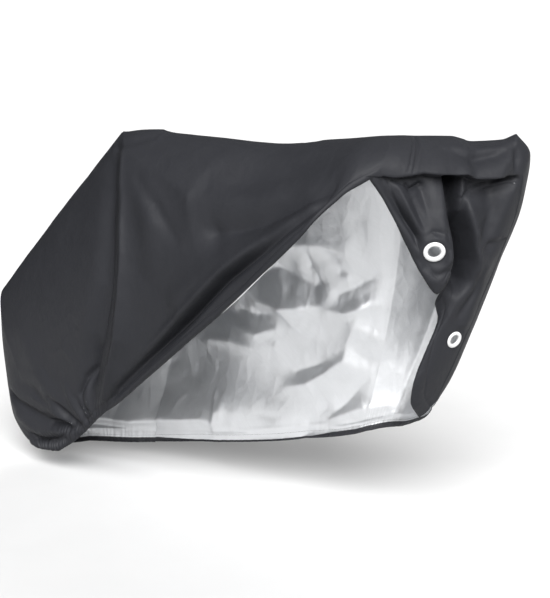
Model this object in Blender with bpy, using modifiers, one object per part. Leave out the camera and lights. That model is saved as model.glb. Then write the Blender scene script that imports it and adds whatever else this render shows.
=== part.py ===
"""Bicycle cover, as it hangs half pulled up: a coated cloth sheet with a gathered tail, a long near
hem that runs up to the front, a folded front band with a hanging flap, and a narrow nose.

Metres, +Z up. +X runs from the tail to the nose, -Y is the near side, where the hem is pulled up.
The whole cloth is one surface. Each row of STATIONS names one thread line across it: from the near
hem, over the ridge line at the top, down to the far hem. Panels are cut out of that surface along
thread lines and rows, with a seam gap between them, and get their thickness along its normals.
"""
import math
from collections import namedtuple

import bmesh
import bpy
import numpy as np
from mathutils import Vector

OBJECT = "bicycle_cover"

# Driving dimensions
CLOTH = 0.002  # thickness of the coated cloth
SEAM = 0.0003  # gap between two sewn panels
HEM_BAND = 0.042  # depth of the turned hem
HEM_CREASE = 0.007  # how far the cloth dips above the turned hem
CELL = 0.058  # widest column of the sheet
CROWN_ROWS = 3  # rows from the ridge line to the fold line
BODY_ROWS = 9  # rows from the fold line to the hem band
BAND_ROWS = 2  # rows in the hem band
LIP_HEIGHT = 0.010  # height over which the cloth turns in under the front fold
LIP_SHARE = 0.15  # most that the lip takes of the cloth below the fold, and the hem band beside it
BAND_SHARE = 0.45
FAR_FOLD = 0.22  # the most of the far side that the crown rows take
CENTRE = Vector((0.297, 0.0945, 0.029))  # the box's bottom centre, in the table's coordinates

# The front hangs square to this line, which is turned out of the cover's length
FRONT_START = np.array((0.857, -0.050))
FRONT_ALONG = np.array((0.606, 0.796))
FRONT_OUT = np.array((0.796, -0.606, 0.0))

# Eyelet rings
EYELET_HOLE = 0.29  # radius of the clear hole, as a share of the ring's diameter
EYELET_NECK = 0.0018  # wall of the neck that passes through the cloth
EYELET_FLANGE = 0.0022
EYELET_BACK = 0.004  # how much smaller in radius the back flange is
EYELET_STEPS = 24

# One thread line across the cloth: ridge, near hem and far hem are places (x, y, z). A swell
# (forward, outward) says how far the cloth stands out between ridge and hem. fold is the share of
# the way down to the near hem where the front fold or the nose seam lies, and tuck is how far the
# cloth turns in under it.
Station = namedtuple("Station", "name ridge near near_swell far far_swell fold tuck")
STATIONS = [Station(*row) for row in (
    ("tail_foot", (-0.338, 0.000, 0.042), (-0.330, -0.036, 0.060), (0.0, 0.010),
     (-0.325, 0.050, 0.036), (0.0, 0.010), 0.22, 0),
    ("tail_heel", (-0.402, 0.000, 0.092), (-0.303, -0.046, 0.054), (0.0, 0.025),
     (-0.318, 0.075, 0.032), (0.0, 0.025), 0.22, 0),
    ("tail_low", (-0.446, 0.000, 0.158), (-0.280, -0.048, 0.055), (0.0, 0.035),
     (-0.310, 0.090, 0.030), (0.0, 0.035), 0.22, 0),
    ("tail_back", (-0.465, 0.000, 0.335), (-0.245, -0.050, 0.059), (0.0, 0.050),
     (-0.295, 0.105, 0.032), (0.0, 0.050), 0.22, 0),
    ("shoulder", (-0.471, 0.000, 0.500), (-0.205, -0.055, 0.065), (0.005, 0.060),
     (-0.262, 0.120, 0.040), (0.0, 0.060), 0.22, 0),
    ("rear_slope", (-0.222, 0.000, 0.752), (-0.130, -0.066, 0.112), (0.050, 0.085),
     (-0.166, 0.150, 0.050), (0.030, 0.080), 0.22, 0),
    ("apex", (0.020, 0.000, 0.985), (-0.020, -0.085, 0.208), (0.140, 0.110),
     (-0.052, 0.190, 0.066), (0.050, 0.100), 0.22, 0),
    ("top_back", (0.150, 0.000, 0.995), (0.080, -0.098, 0.270), (0.110, 0.110),
     (0.105, 0.200, 0.097), (0.020, 0.100), 0.22, 0),
    ("top_rear", (0.345, 0.010, 0.990), (0.220, -0.120, 0.375), (0.060, 0.110),
     (0.250, 0.200, 0.125), (0.010, 0.080), 0.22, 0),
    ("dip", (0.510, 0.030, 0.984), (0.387, -0.150, 0.500), (0.040, 0.105),
     (0.380, 0.200, 0.152), (0.0, 0.080), 0.22, 0),
    ("rise", (0.660, 0.045, 1.003), (0.535, -0.165, 0.615), (0.030, 0.095),
     (0.500, 0.200, 0.180), (0.0, 0.080), 0.24, 0),
    ("top_front", (0.740, 0.050, 1.012), (0.650, -0.175, 0.713), (0.020, 0.085),
     (0.570, 0.202, 0.197), (0.0, 0.085), 0.28, 0),
    ("hem_high", (0.785, 0.055, 1.017), (0.748, -0.165, 0.808), (0.020, 0.070),
     (0.610, 0.206, 0.208), (0.0, 0.090), 0.34, 0),
    ("hem_top", (0.805, 0.060, 1.019), (0.812, -0.120, 0.886), (0.020, 0.050),
     (0.640, 0.210, 0.217), (0.0, 0.095), 0.50, 0),
    ("fold_start", (0.820, 0.066, 1.020), (0.857, -0.050, 0.932), (0.040, 0.032),
     (0.660, 0.215, 0.225), (0.0, 0.100), 0.68, 0.006),
    ("flap_start", (0.838, 0.090, 1.020), (0.868, -0.016, 0.885), (0.055, 0.042),
     (0.670, 0.218, 0.229), (0.0, 0.100), 0.57, 0.026),
    ("front_seam", (0.863, 0.123, 1.018), (0.904, 0.030, 0.775), (0.066, 0.050),
     (0.683, 0.222, 0.233), (0.0, 0.100), 0.32, 0.034),
    ("flap_mid", (0.893, 0.163, 1.017), (0.937, 0.049, 0.705), (0.070, 0.054),
     (0.700, 0.229, 0.239), (0.0, 0.100), 0.25, 0.036),
    ("flap_tip", (0.915, 0.191, 1.016), (0.970, 0.086, 0.662), (0.070, 0.054),
     (0.714, 0.234, 0.243), (0.0, 0.100), 0.22, 0.034),
    ("flap_edge", (0.930, 0.211, 1.010), (0.985, 0.110, 0.680), (0.070, 0.054),
     (0.722, 0.237, 0.245), (0.0, 0.100), 0.22, 0.034),
    ("cleft", (0.948, 0.234, 1.003), (0.932, 0.167, 0.635), (0.066, 0.050),
     (0.731, 0.239, 0.247), (0.0, 0.095), 0.19, 0.034),
    ("front_top", (1.000, 0.284, 1.006), (0.931, 0.176, 0.605), (0.060, 0.046),
     (0.748, 0.240, 0.251), (0.0, 0.085), 0.19, 0.032),
    ("peak", (1.028, 0.307, 1.019), (0.925, 0.156, 0.568), (0.050, 0.038),
     (0.760, 0.238, 0.254), (0.0, 0.070), 0.20, 0.022),
    ("front_corner", (1.051, 0.335, 0.972), (0.915, 0.136, 0.533), (0.036, 0.027),
     (0.772, 0.234, 0.258), (0.0, 0.055), 0.13, 0.004),
    ("nose_high", (1.035, 0.341, 0.869), (0.909, 0.118, 0.500), (0.028, 0.021),
     (0.785, 0.228, 0.264), (0.0, 0.045), 0.13, 0),
    ("nose_mid", (1.005, 0.320, 0.758), (0.905, 0.111, 0.478), (0.022, 0.017),
     (0.800, 0.221, 0.271), (0.0, 0.035), 0.14, 0),
    ("nose_low", (0.976, 0.287, 0.636), (0.899, 0.104, 0.454), (0.018, 0.014),
     (0.815, 0.213, 0.279), (0.0, 0.030), 0.16, 0),
    ("nose_end", (0.943, 0.256, 0.510), (0.893, 0.098, 0.422), (0.014, 0.010),
     (0.830, 0.206, 0.287), (0.0, 0.022), 0.20, 0),
    ("toe_top", (0.922, 0.240, 0.438), (0.888, 0.102, 0.392), (0.010, 0.008),
     (0.842, 0.200, 0.293), (0.0, 0.016), 0.24, 0),
    ("toe", (0.898, 0.205, 0.366), (0.883, 0.128, 0.362), (0.006, 0.005),
     (0.860, 0.190, 0.305), (0.0, 0.010), 0.28, 0),
)]

# The ridge line turns sharply at these stations
CORNERS = ("shoulder", "apex", "fold_start", "peak")

# Folds: a path of (run, z) places on the near side, the front or the far side. run is x, or on the
# front the way along the turned line. rise is how far the cloth stands out (or in, below nought)
# at the start and at the end of the path, and a crisp fold comes to an edge.
Fold = namedtuple("Fold", "name zone path width rise crisp")
FOLDS = [Fold(*row) for row in (
    ("ridge_fold", "near", ((0.10, 0.95), (0.14, 0.76), (0.13, 0.57), (0.10, 0.43), (0.0, 0.22)),
     0.030, (0.006, 0.022), True),
    ("rear_trough", "near", ((0.09, 0.92), (0.09, 0.72), (0.06, 0.55), (0.03, 0.40), (-0.03, 0.25)),
     0.034, (-0.006, -0.024), False),
    ("light_cone", "near", ((0.17, 0.93), (0.27, 0.80), (0.31, 0.72)), 0.060, (0.006, 0.014), False),
    ("broad_trough", "near", ((0.42, 0.90), (0.56, 0.925), (0.74, 0.965)), 0.045, (-0.016, -0.008),
     False),
    ("hem_valley", "near", ((0.30, 0.64), (0.42, 0.75), (0.54, 0.80), (0.68, 0.86), (0.82, 0.93)),
     0.050, (-0.010, -0.022), False),
    ("hem_roll", "near", ((0.28, 0.52), (0.45, 0.67), (0.60, 0.79), (0.72, 0.86)), 0.040,
     (0.008, 0.012), False),
    ("gather_high", "near", ((-0.39, 0.185), (-0.29, 0.175), (-0.20, 0.16)), 0.016,
     (-0.010, -0.016), False),
    ("gather_mid", "near", ((-0.20, 0.21), (-0.12, 0.175)), 0.014, (-0.008, -0.014), False),
    ("gather_low", "near", ((-0.33, 0.095), (-0.25, 0.08)), 0.014, (-0.006, -0.012), False),
    ("gather_pleat", "near", ((-0.06, 0.36), (-0.06, 0.27), (-0.08, 0.19)), 0.014,
     (-0.006, -0.014), False),
    ("tail_fold", "near", ((-0.31, 0.40), (-0.25, 0.30), (-0.17, 0.22)), 0.040, (0.004, 0.012),
     False),
    ("cleft", "front", ((0.225, 0.93), (0.235, 0.81), (0.250, 0.74), (0.248, 0.70)), 0.028,
     (-0.040, -0.070), False),
    ("flap_roll", "front", ((0.030, 0.92), (0.060, 0.86), (0.125, 0.77)), 0.014, (0.004, 0.010),
     False),
    ("flap_pleat", "front", ((0.062, 0.92), (0.080, 0.87), (0.118, 0.81)), 0.014, (-0.016, -0.010),
     False),
    ("flap_ridge", "front", ((0.100, 0.92), (0.115, 0.85), (0.140, 0.80)), 0.016, (0.008, 0.010),
     False),
    ("flap_side", "front", ((0.172, 0.92), (0.182, 0.84), (0.195, 0.72)), 0.018, (0.010, 0.014),
     False),
    ("nose_crease", "front", ((0.275, 0.75), (0.345, 0.77)), 0.018, (-0.010, -0.006), False),
    ("nose_hollow", "front", ((0.285, 0.86), (0.320, 0.80)), 0.035, (-0.010, -0.008), False),
    ("nose_edge", "front", ((0.262, 0.88), (0.278, 0.76), (0.284, 0.66), (0.27, 0.58)), 0.016,
     (0.008, 0.010), False),
    ("far_sag", "far", ((0.05, 0.62), (0.25, 0.50), (0.45, 0.52)), 0.090, (0.020, 0.030), False),
    ("far_ridge", "far", ((0.20, 0.20), (0.36, 0.48), (0.58, 0.72)), 0.040, (-0.020, -0.030),
     False),
    ("far_fold_a", "far", ((0.48, 0.24), (0.55, 0.45), (0.66, 0.62)), 0.030, (0.018, 0.024), False),
    ("far_fold_b", "far", ((0.60, 0.28), (0.66, 0.46), (0.74, 0.58)), 0.024, (-0.018, -0.022),
     False),
    ("far_low", "far", ((-0.10, 0.15), (0.12, 0.20), (0.30, 0.19)), 0.035, (0.012, 0.018), False),
)]

# Rings: run and z on the front, the ring's outer diameter, the radius of the flat cloth around it,
# and how much finer the columns and rows of the strip that holds it are divided to lie flat there
Eyelet = namedtuple("Eyelet", "name strip run z diameter flat finer")
EYELETS = [
    Eyelet("near_eyelet_ring", "near_eyelet_strip", 0.153, 0.759, 0.052, 0.036, (3, 3)),
    Eyelet("nose_eyelet_ring", "nose_eyelet_strip", 0.242, 0.525, 0.043, 0.040, (2, 2)),
]

# The panels, from the first that fits: the stations they run between, and the rows, counted from
# the near hem. None is the sheet's own end, and the named rows are set in ROW.
Panel = namedtuple("Panel", "name start end low high")
PANELS = [
    Panel("tail_panel", None, "apex", "near_hem", "far_hem"),
    Panel("nose_gusset", "peak", None, "fold", "far_fold"),
    Panel("near_eyelet_strip", "front_seam", "flap_edge+1", "near_hem", "strip_top"),
    Panel("nose_eyelet_strip", "nose_low-2", None, "near_hem", "fold"),
    Panel("near_side_panel", "apex", "front_seam", "near_hem", "ridge"),
    Panel("front_panel", "front_seam", None, "near_hem", "ridge"),
    Panel("far_side_panel", "apex", None, "ridge", "far_hem"),
]
HALF_ROWS = BAND_ROWS + BODY_ROWS + 1 + CROWN_ROWS
ROW = {
    "near_hem": 0,
    "strip_top": BAND_ROWS + 4,
    "fold": HALF_ROWS - CROWN_ROWS,
    "ridge": HALF_ROWS,
    "far_fold": HALF_ROWS + CROWN_ROWS,
    "far_hem": 2 * HALF_ROWS,
}

# Finishes: colour, roughness, metallic
BLACK_CLOTH = ("black_cloth", (0.035, 0.036, 0.040, 1.0), 0.48, 0.0)
WHITE_RING = ("white_ring", (0.82, 0.82, 0.81, 1.0), 0.35, 0.0)


def station_index(name):
    """The row of STATIONS with this name."""
    return [station.name for station in STATIONS].index(name)


def through_rows(knots, values, at):
    """A cubic through the table's rows that never swings past them, read at the given places."""
    step = np.diff(knots)[:, None]
    slope = np.diff(values, axis=0) / step
    before, after = slope[:-1], slope[1:]
    total = before + after
    same_way = before * after > 0
    mean = np.where(same_way, 2 * before * after / np.where(same_way, total, 1.0), 0.0)
    tangent = np.vstack([slope[:1], mean, slope[-1:]])
    i = np.clip(np.searchsorted(knots, at, side="right") - 1, 0, len(knots) - 2)
    f = ((at - knots[i]) / step[i, 0])[:, None]
    start = values[i] * (1 + 2 * f) * (1 - f) ** 2 + tangent[i] * step[i] * f * (1 - f) ** 2
    end = values[i + 1] * f * f * (3 - 2 * f) + tangent[i + 1] * step[i] * f * f * (f - 1)
    return start + end


def at_corners(knots, values, at):
    """The table's rows read at the given places, with a true corner at each of CORNERS."""
    ends = [0] + [station_index(name) for name in CORNERS] + [len(knots) - 1]
    pieces = []
    for start, end in zip(ends, ends[1:]):
        last = end == ends[-1]
        here = (at >= knots[start]) & ((at <= knots[end]) if last else (at < knots[end]))
        pieces.append(through_rows(knots[start:end + 1], values[start:end + 1], at[here]))
    return np.vstack(pieces)


def station_values():
    """The table as an array: ridge, near hem, far hem, both swells, fold and tuck."""
    return np.array([
        (*s.ridge, *s.near, *s.far, *s.near_swell, *s.far_swell, s.fold, s.tuck) for s in STATIONS
    ], dtype=float)


def columns():
    """Places along the cover, with one on each station, and the index of each station's column."""
    table = station_values()
    lines = [table[:, 0:3], table[:, 3:6], table[:, 6:9]]
    lengths = [np.linalg.norm(np.diff(line, axis=0), axis=1) for line in lines]
    knots = np.concatenate([[0], np.cumsum(np.mean(lengths, axis=0))])
    counts = np.ceil(np.max(lengths, axis=0) / CELL).astype(int)
    at, first = [], []
    for k, count in enumerate(counts):
        first.append(len(at))
        at.extend(np.linspace(knots[k], knots[k + 1], count, endpoint=False))
    first.append(len(at))
    at.append(knots[-1])
    return knots, np.array(at), first


def row_shares(fold, length):
    """Shares of the way from ridge to hem at which the rows lie, from the ridge down."""
    lip = min(LIP_HEIGHT / length, LIP_SHARE * (1 - fold))
    band = min(HEM_BAND / length, BAND_SHARE * (1 - fold))
    crown = fold * (np.arange(CROWN_ROWS + 1) / CROWN_ROWS) ** 1.5
    body = np.linspace(fold + lip, 1 - band, BODY_ROWS + 1)
    hem = np.linspace(1 - band, 1, BAND_ROWS + 1)[1:]
    return np.concatenate([crown, body, hem])


def swell_shape(share):
    """How a section stands out between ridge and hem: round over the ridge, straight at the hem."""
    return 2.6 * np.sqrt(share) * (1 - share)


def smooth(value):
    """0 below 0, 1 above 1, and an even curve between."""
    value = np.clip(value, 0, 1)
    return value * value * (3 - 2 * value)


def unit(vectors):
    """Vectors brought to a length of one."""
    return vectors / np.linalg.norm(vectors, axis=-1, keepdims=True)


def normals_of(points):
    """Outward unit normals of a grid of points: the even mean of the cells around each point."""
    cells = unit(np.cross(points[1:, 1:] - points[:-1, :-1], points[:-1, 1:] - points[1:, :-1]))
    cells = np.pad(cells, ((1, 1), (1, 1), (0, 0)), mode="edge")
    return unit(cells[1:, 1:] + cells[:-1, 1:] + cells[1:, :-1] + cells[:-1, :-1])


def path_rise(run, z, fold):
    """How far one fold moves the cloth at each place (run, z)."""
    path = np.array(fold.path)
    lengths = np.linalg.norm(np.diff(path, axis=0), axis=1)
    starts = np.concatenate([[0], np.cumsum(lengths)])
    nearest = np.full(run.shape, np.inf)
    share = np.zeros(run.shape)
    for k, length in enumerate(lengths):
        step = (path[k + 1] - path[k]) / length
        reach = np.clip((run - path[k, 0]) * step[0] + (z - path[k, 1]) * step[1], 0, length)
        gap = np.hypot(run - path[k, 0] - step[0] * reach, z - path[k, 1] - step[1] * reach)
        closer = gap < nearest
        nearest = np.where(closer, gap, nearest)
        share = np.where(closer, (starts[k] + reach) / starts[-1], share)
    rise = fold.rise[0] + (fold.rise[1] - fold.rise[0]) * share
    profile = np.exp(-nearest / fold.width) if fold.crisp else np.exp(-(nearest / fold.width) ** 2)
    return rise * profile


def draped_sheet():
    """The middle of the cloth as a grid of points, and the index of each station's column."""
    knots, at, first = columns()
    table = at_corners(knots, station_values(), at)
    points = np.zeros((len(at), 2 * HALF_ROWS + 1, 3))
    tuck = np.zeros(points.shape[:2])
    dip = np.zeros(points.shape[:2])
    under = np.zeros(points.shape[:2], dtype=bool)
    for c, row in enumerate(table):
        ridge, hems, swells = row[0:3], (row[3:6], row[6:9]), (row[9:11], row[11:13])
        for side, (hem, swell) in enumerate(zip(hems, swells)):
            outward = 1 if side else -1
            length = np.linalg.norm(hem - ridge)
            share = row_shares(min(row[13], FAR_FOLD) if side else row[13], length)[:, None]
            stand = np.array((swell[0], outward * swell[1], 0.0))
            section = ridge + (hem - ridge) * share + stand * swell_shape(share)
            rows = HALF_ROWS + outward * np.arange(HALF_ROWS + 1)
            points[c, rows] = section
            if side == 0:
                below = share[:, 0] > row[13] + 1e-6
                fade = 1 - smooth((share[:, 0] - row[13]) / (1 - row[13]))
                tuck[c, rows] = np.where(below, row[14] * fade, 0)
                under[c, rows] = below
                dip[c, BAND_ROWS] = -HEM_CREASE * (1 - share[-1 - BAND_ROWS, 0]) * length / HEM_BAND
                dip[c, 1] = -dip[c, BAND_ROWS] / 2
    points -= tuck[:, :, None] * FRONT_OUT

    def growing(start, end):
        start, end = knots[station_index(start)], knots[station_index(end)]
        return smooth((at - start) / (end - start))[:, None]

    front = growing("hem_top", "front_seam")
    creased = growing("rear_slope", "apex") * (1 - growing("top_front", "hem_top"))
    near = (np.arange(points.shape[1]) <= HALF_ROWS)[None, :]
    along = (points[:, :, :2] - FRONT_START) @ FRONT_ALONG
    height = points[:, :, 2]
    out = {"near": dip * creased, "front": 0.0, "far": 0.0}
    reach = {"near": near * (1 - growing("hem_high", "flap_start")), "front": under * front, "far": ~near * 1.0}
    for fold in FOLDS:
        run = along if fold.zone == "front" else points[:, :, 0]
        out[fold.zone] = out[fold.zone] + path_rise(run, height, fold) * reach[fold.zone]
    sides = (out["near"] + out["far"])[:, :, None] * normals_of(points)
    return points + sides + out["front"][:, :, None] * FRONT_OUT, first


def inward_insets(points, normals, mask):
    """Moves a panel's edge points in by half a seam gap, so that two panels stay apart."""
    moved = points.copy()
    pulls = {}
    for (a, b), (c, r) in outline(mask):
        edge = points[b] - points[a]
        centre = points[c:c + 2, r:r + 2].reshape(4, 3).mean(axis=0)
        pull = np.cross(normals[a] + normals[b], edge)
        pull /= np.linalg.norm(pull)
        if pull @ (centre - points[a]) < 0:
            pull = -pull
        pulls.setdefault(a, []).append(pull)
        pulls.setdefault(b, []).append(pull)
    for corner, pair in pulls.items():
        first, second = pair[0], pair[-1]
        moved[corner] += (first + second) / (1 + first @ second) * SEAM / 2
    return moved


def outline(mask):
    """The edges between a cell of the panel and one outside it, as two points and the cell."""
    edges = []
    wide, high = mask.shape
    for c, r in zip(*np.nonzero(mask)):
        corners = [(c, r), (c + 1, r), (c + 1, r + 1), (c, r + 1)]
        beside = [(c, r - 1), (c + 1, r), (c, r + 1), (c - 1, r)]
        for k, (i, j) in enumerate(beside):
            inside = 0 <= i < wide and 0 <= j < high and mask[i, j]
            if not inside:
                edges.append(((corners[k], corners[(k + 1) % 4]), (c, r)))
    return edges


def refined(grid, times):
    """A grid divided finer by straight lines between its points."""
    for axis, parts in enumerate(times):
        count = grid.shape[axis]
        place = np.linspace(0, count - 1, (count - 1) * parts + 1)
        low = np.minimum(place.astype(int), count - 2)
        share = (place - low).reshape((-1, 1, 1) if axis == 0 else (1, -1, 1))
        grid = np.take(grid, low, axis) * (1 - share) + np.take(grid, low + 1, axis) * share
    return grid


def flat_round_eyelet(points, normals, eyelet):
    """Lays the cloth flat around a ring. Returns both grids, the ring's centre and its axis."""
    along = (points[:, :, :2] - FRONT_START) @ FRONT_ALONG
    away = np.hypot(along - eyelet.run, points[:, :, 2] - eyelet.z)
    c, r = np.unravel_index(np.argmin(away), away.shape)
    centre = points[c, r]
    reach = np.linalg.norm(points - centre, axis=2)
    spot = reach < eyelet.flat
    axis = normals[spot].mean(axis=0)
    axis /= np.linalg.norm(axis)
    middle = points[spot].mean(axis=0)
    centre = centre + axis * ((middle - centre) @ axis)
    inner = np.zeros(reach.shape, dtype=bool)
    inner[1:-1, 1:-1] = True
    spot &= inner
    lift = (points - centre) @ axis
    points = np.where(spot[:, :, None], points - axis * lift[:, :, None], points)
    normals = np.where(spot[:, :, None], axis, normals)
    return points, normals, Vector(centre), Vector(axis)


def thick_panel(name, points, normals, mask):
    """A closed solid: the masked cells of the sheet, with the cloth's thickness."""
    skin = {}
    mesh = bmesh.new()
    for face in (1, -1):
        for c, r in zip(*np.nonzero(mask)):
            for corner in ((c, r), (c + 1, r), (c + 1, r + 1), (c, r + 1)):
                if (face, corner) not in skin:
                    place = points[corner] + normals[corner] * (face * CLOTH / 2)
                    skin[face, corner] = mesh.verts.new(Vector(place) - CENTRE)
            loop = [(c, r), (c + 1, r), (c + 1, r + 1), (c, r + 1)][::face]
            for trio in ((0, 1, 2), (0, 2, 3)) if face == 1 else ((1, 2, 3), (1, 3, 0)):
                mesh.faces.new([skin[face, loop[k]] for k in trio])
    for edge, _ in outline(mask):
        a, b = sorted(edge)  # the same diagonal on both sides of a seam
        for trio in (((1, a), (-1, a), (-1, b)), ((1, a), (-1, b), (1, b))):
            mesh.faces.new([skin[corner] for corner in trio])
    return solid(name, mesh)


def solid(name, mesh):
    """A named object from a finished mesh, in the object's collection."""
    bmesh.ops.recalc_face_normals(mesh, faces=mesh.faces)
    data = bpy.data.meshes.new(name)
    mesh.to_mesh(data)
    mesh.free()
    piece = bpy.data.objects.new(name, data)
    bpy.data.collections[OBJECT].objects.link(piece)
    return piece


def panel_mask(panel, first, taken):
    """The cells of one panel that no earlier panel has taken."""
    def column(place, default):
        if place is None:
            return default
        name, more = (place[:-2], int(place[-2:])) if place[-2] in "+-" else (place, 0)
        return first[station_index(name)] + more

    mask = np.zeros(taken.shape, dtype=bool)
    start, end = column(panel.start, 0), column(panel.end, taken.shape[0])
    mask[start:end, ROW[panel.low]:ROW[panel.high]] = True
    return mask & ~taken


def ring_profile(eyelet):
    """Half of a ring's section, as (radius, height) places down its outer side and up the hole."""
    outer = eyelet.diameter / 2
    hole = eyelet.diameter * EYELET_HOLE
    neck = hole + EYELET_NECK
    seat = CLOTH / 2 + SEAM
    top = seat + EYELET_FLANGE
    back = -seat - EYELET_FLANGE * 0.7
    return [
        (hole, top * 0.7), (hole + 0.0012, top), (outer - 0.0022, top), (outer - 0.0006, top * 0.8),
        (outer, seat + 0.0004), (outer, seat), (neck, seat), (neck, -seat),
        (outer - EYELET_BACK, -seat), (outer - EYELET_BACK, back), (hole, back),
    ]


def eyelet_ring(eyelet, centre, axis):
    """A turned ring with a flange on each side of the cloth, set square to the cloth."""
    profile = bmesh.new()
    dots = [profile.verts.new((radius, 0.0, height)) for radius, height in ring_profile(eyelet)]
    for k, dot in enumerate(dots):
        profile.edges.new((dot, dots[(k + 1) % len(dots)]))
    data = bpy.data.meshes.new(eyelet.name)
    profile.to_mesh(data)
    profile.free()
    ring = bpy.data.objects.new(eyelet.name, data)
    bpy.data.collections[OBJECT].objects.link(ring)
    turn = ring.modifiers.new("turn", "SCREW")
    turn.angle = 2 * math.pi
    turn.steps = turn.render_steps = EYELET_STEPS
    turn.use_merge_vertices = True
    turn.merge_threshold = 0.0001
    turn.use_normal_calculate = True
    ring.location = centre - CENTRE
    ring.rotation_euler = axis.to_track_quat("Z", "Y").to_euler()
    return ring


def cut_hole(strip, eyelet, centre, axis):
    """Cuts the hole for a ring's neck through the strip that holds it."""
    mesh = bmesh.new()
    radius = eyelet.diameter * EYELET_HOLE + EYELET_NECK + SEAM
    bmesh.ops.create_cone(mesh, cap_ends=True, segments=EYELET_STEPS, radius1=radius,
                          radius2=radius, depth=10 * CLOTH)
    data = bpy.data.meshes.new(eyelet.name + "_cutter")
    mesh.to_mesh(data)
    mesh.free()
    cutter = bpy.data.objects.new(data.name, data)
    bpy.data.collections["cutters"].objects.link(cutter)
    cutter.location = centre - CENTRE
    cutter.rotation_euler = axis.to_track_quat("Z", "Y").to_euler()
    cutter.hide_render = True
    cutter.display_type = "WIRE"
    cut = strip.modifiers.new("eyelet_hole", "BOOLEAN")
    cut.operation = "DIFFERENCE"
    cut.solver = "EXACT"
    cut.object = cutter


def finish(piece, name, colour, roughness, metallic):
    """Gives a piece a plain finish of its own."""
    material = bpy.data.materials.new(piece.name + "_" + name)
    material.use_nodes = True
    shader = material.node_tree.nodes["Principled BSDF"]
    shader.inputs["Base Color"].default_value = colour
    shader.inputs["Roughness"].default_value = roughness
    shader.inputs["Metallic"].default_value = metallic
    piece.data.materials.append(material)


def clear_scene():
    """Empties the scene and adds one collection for the object and one for the cutters."""
    for piece in list(bpy.data.objects):
        bpy.data.objects.remove(piece, do_unlink=True)
    for name in (OBJECT, "cutters"):
        bpy.context.scene.collection.children.link(bpy.data.collections.new(name))


def build():
    """Builds every panel, strip and ring."""
    clear_scene()
    points, first = draped_sheet()
    normals = normals_of(points)
    taken = np.zeros((points.shape[0] - 1, points.shape[1] - 1), dtype=bool)
    rings = {eyelet.strip: eyelet for eyelet in EYELETS}
    for panel in PANELS:
        mask = panel_mask(panel, first, taken)
        taken |= mask
        inset = inward_insets(points, normals, mask)
        eyelet = rings.get(panel.name)
        if eyelet is None:
            piece = thick_panel(panel.name, inset, normals, mask)
        else:
            cells = np.argwhere(mask)
            (c0, r0), (c1, r1) = cells.min(axis=0), cells.max(axis=0) + 2
            fine = refined(inset[c0:c1, r0:r1], eyelet.finer)
            fine_normals = refined(normals[c0:c1, r0:r1], eyelet.finer)
            fine, fine_normals, centre, axis = flat_round_eyelet(fine, fine_normals, eyelet)
            whole = np.ones((fine.shape[0] - 1, fine.shape[1] - 1), dtype=bool)
            piece = thick_panel(panel.name, fine, fine_normals, whole)
            cut_hole(piece, eyelet, centre, axis)
            finish(eyelet_ring(eyelet, centre, axis), *WHITE_RING)
        finish(piece, *BLACK_CLOTH)


build()
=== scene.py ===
"""Dresses the bicycle cover: black coated cloth with a silver inside, hanging half pulled up.

Metres, +Z up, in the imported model's frame. The whole cloth is one draped surface, worked out from a
table of thread lines as in the part's source, but fine enough for creases, hems and seams. Each
panel is cut out of it, gets the cloth's thickness, and replaces the solid of the same panel. The
tables of stations and folds are in thousandths: millimetres, and thousandths of the way down.
"""
import logging
import math
from dataclasses import dataclass
from enum import Enum

import bmesh
import bpy
import numpy as np
from mathutils import Matrix, Vector


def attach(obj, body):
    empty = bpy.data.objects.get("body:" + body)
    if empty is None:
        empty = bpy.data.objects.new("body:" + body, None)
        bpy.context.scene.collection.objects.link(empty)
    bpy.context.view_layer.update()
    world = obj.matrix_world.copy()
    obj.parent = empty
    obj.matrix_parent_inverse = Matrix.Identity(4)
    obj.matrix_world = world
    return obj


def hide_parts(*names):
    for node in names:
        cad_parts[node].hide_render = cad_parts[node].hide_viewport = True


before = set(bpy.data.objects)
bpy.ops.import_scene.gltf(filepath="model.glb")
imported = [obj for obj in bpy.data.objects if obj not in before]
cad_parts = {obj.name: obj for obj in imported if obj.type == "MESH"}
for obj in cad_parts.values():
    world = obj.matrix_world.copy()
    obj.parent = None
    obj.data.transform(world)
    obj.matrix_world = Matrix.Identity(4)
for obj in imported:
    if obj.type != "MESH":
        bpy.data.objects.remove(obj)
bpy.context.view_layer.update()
LOG = logging.getLogger("bicycle_cover")

ORIGIN = np.array((0.297, 0.0945, 0.029))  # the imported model's origin, in the tables' coordinates
FRONT_START = np.array((0.857, -0.050))  # the line that the front hangs square to
FRONT_ALONG = np.array((0.606, 0.796))
FRONT_OUT = np.array((0.796, -0.606, 0.0))
EDGE_ROUND = 0.004  # how blunt a crisp fold is
PLEAT_ROLLS = 1.4  # how high the two rolls beside a pleat stand
EASY_SIDE, STEEP_SIDE = 0.4, 4.0  # how fast a step falls on its two sides
SWELL = 2.6  # brings the swell's highest point to one
NOISE_KEYS = np.array((127.1, 311.7, 74.7))  # spread the noise's cells over a sine
NOISE_SPREAD = 43758.5453
NOISE_SHIFT = 17.31  # from one seed to the next
RIDGE, NEAR_HEM, FAR_HEM = slice(0, 3), slice(3, 6), slice(6, 9)  # columns of the stations' array
NEAR_SWELL, FAR_SWELL, FOLD, TUCK = slice(9, 11), slice(11, 13), 13, 14
RIDGE_Z, NEAR_Z = 2, 5
RING_CUT = 0.31  # radius of the hole cut for a ring, of its diameter
CLOTH_SLOT = "black_cloth"
RING_SLOT = "white_ring"


class Zone(Enum):
    """The part of the cloth that a fold lies on."""

    NEAR = "near side"
    BAND = "folded band of the front"
    FRONT = "front, below its folded band"
    FAR = "far side"


class Form(Enum):
    """How a fold's section looks, from its middle line outwards."""

    SOFT = "round"
    CRISP = "an edge"
    PLEAT = "a trough between two rolls"
    STEP = "steep on one side and easy on the other"


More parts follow.
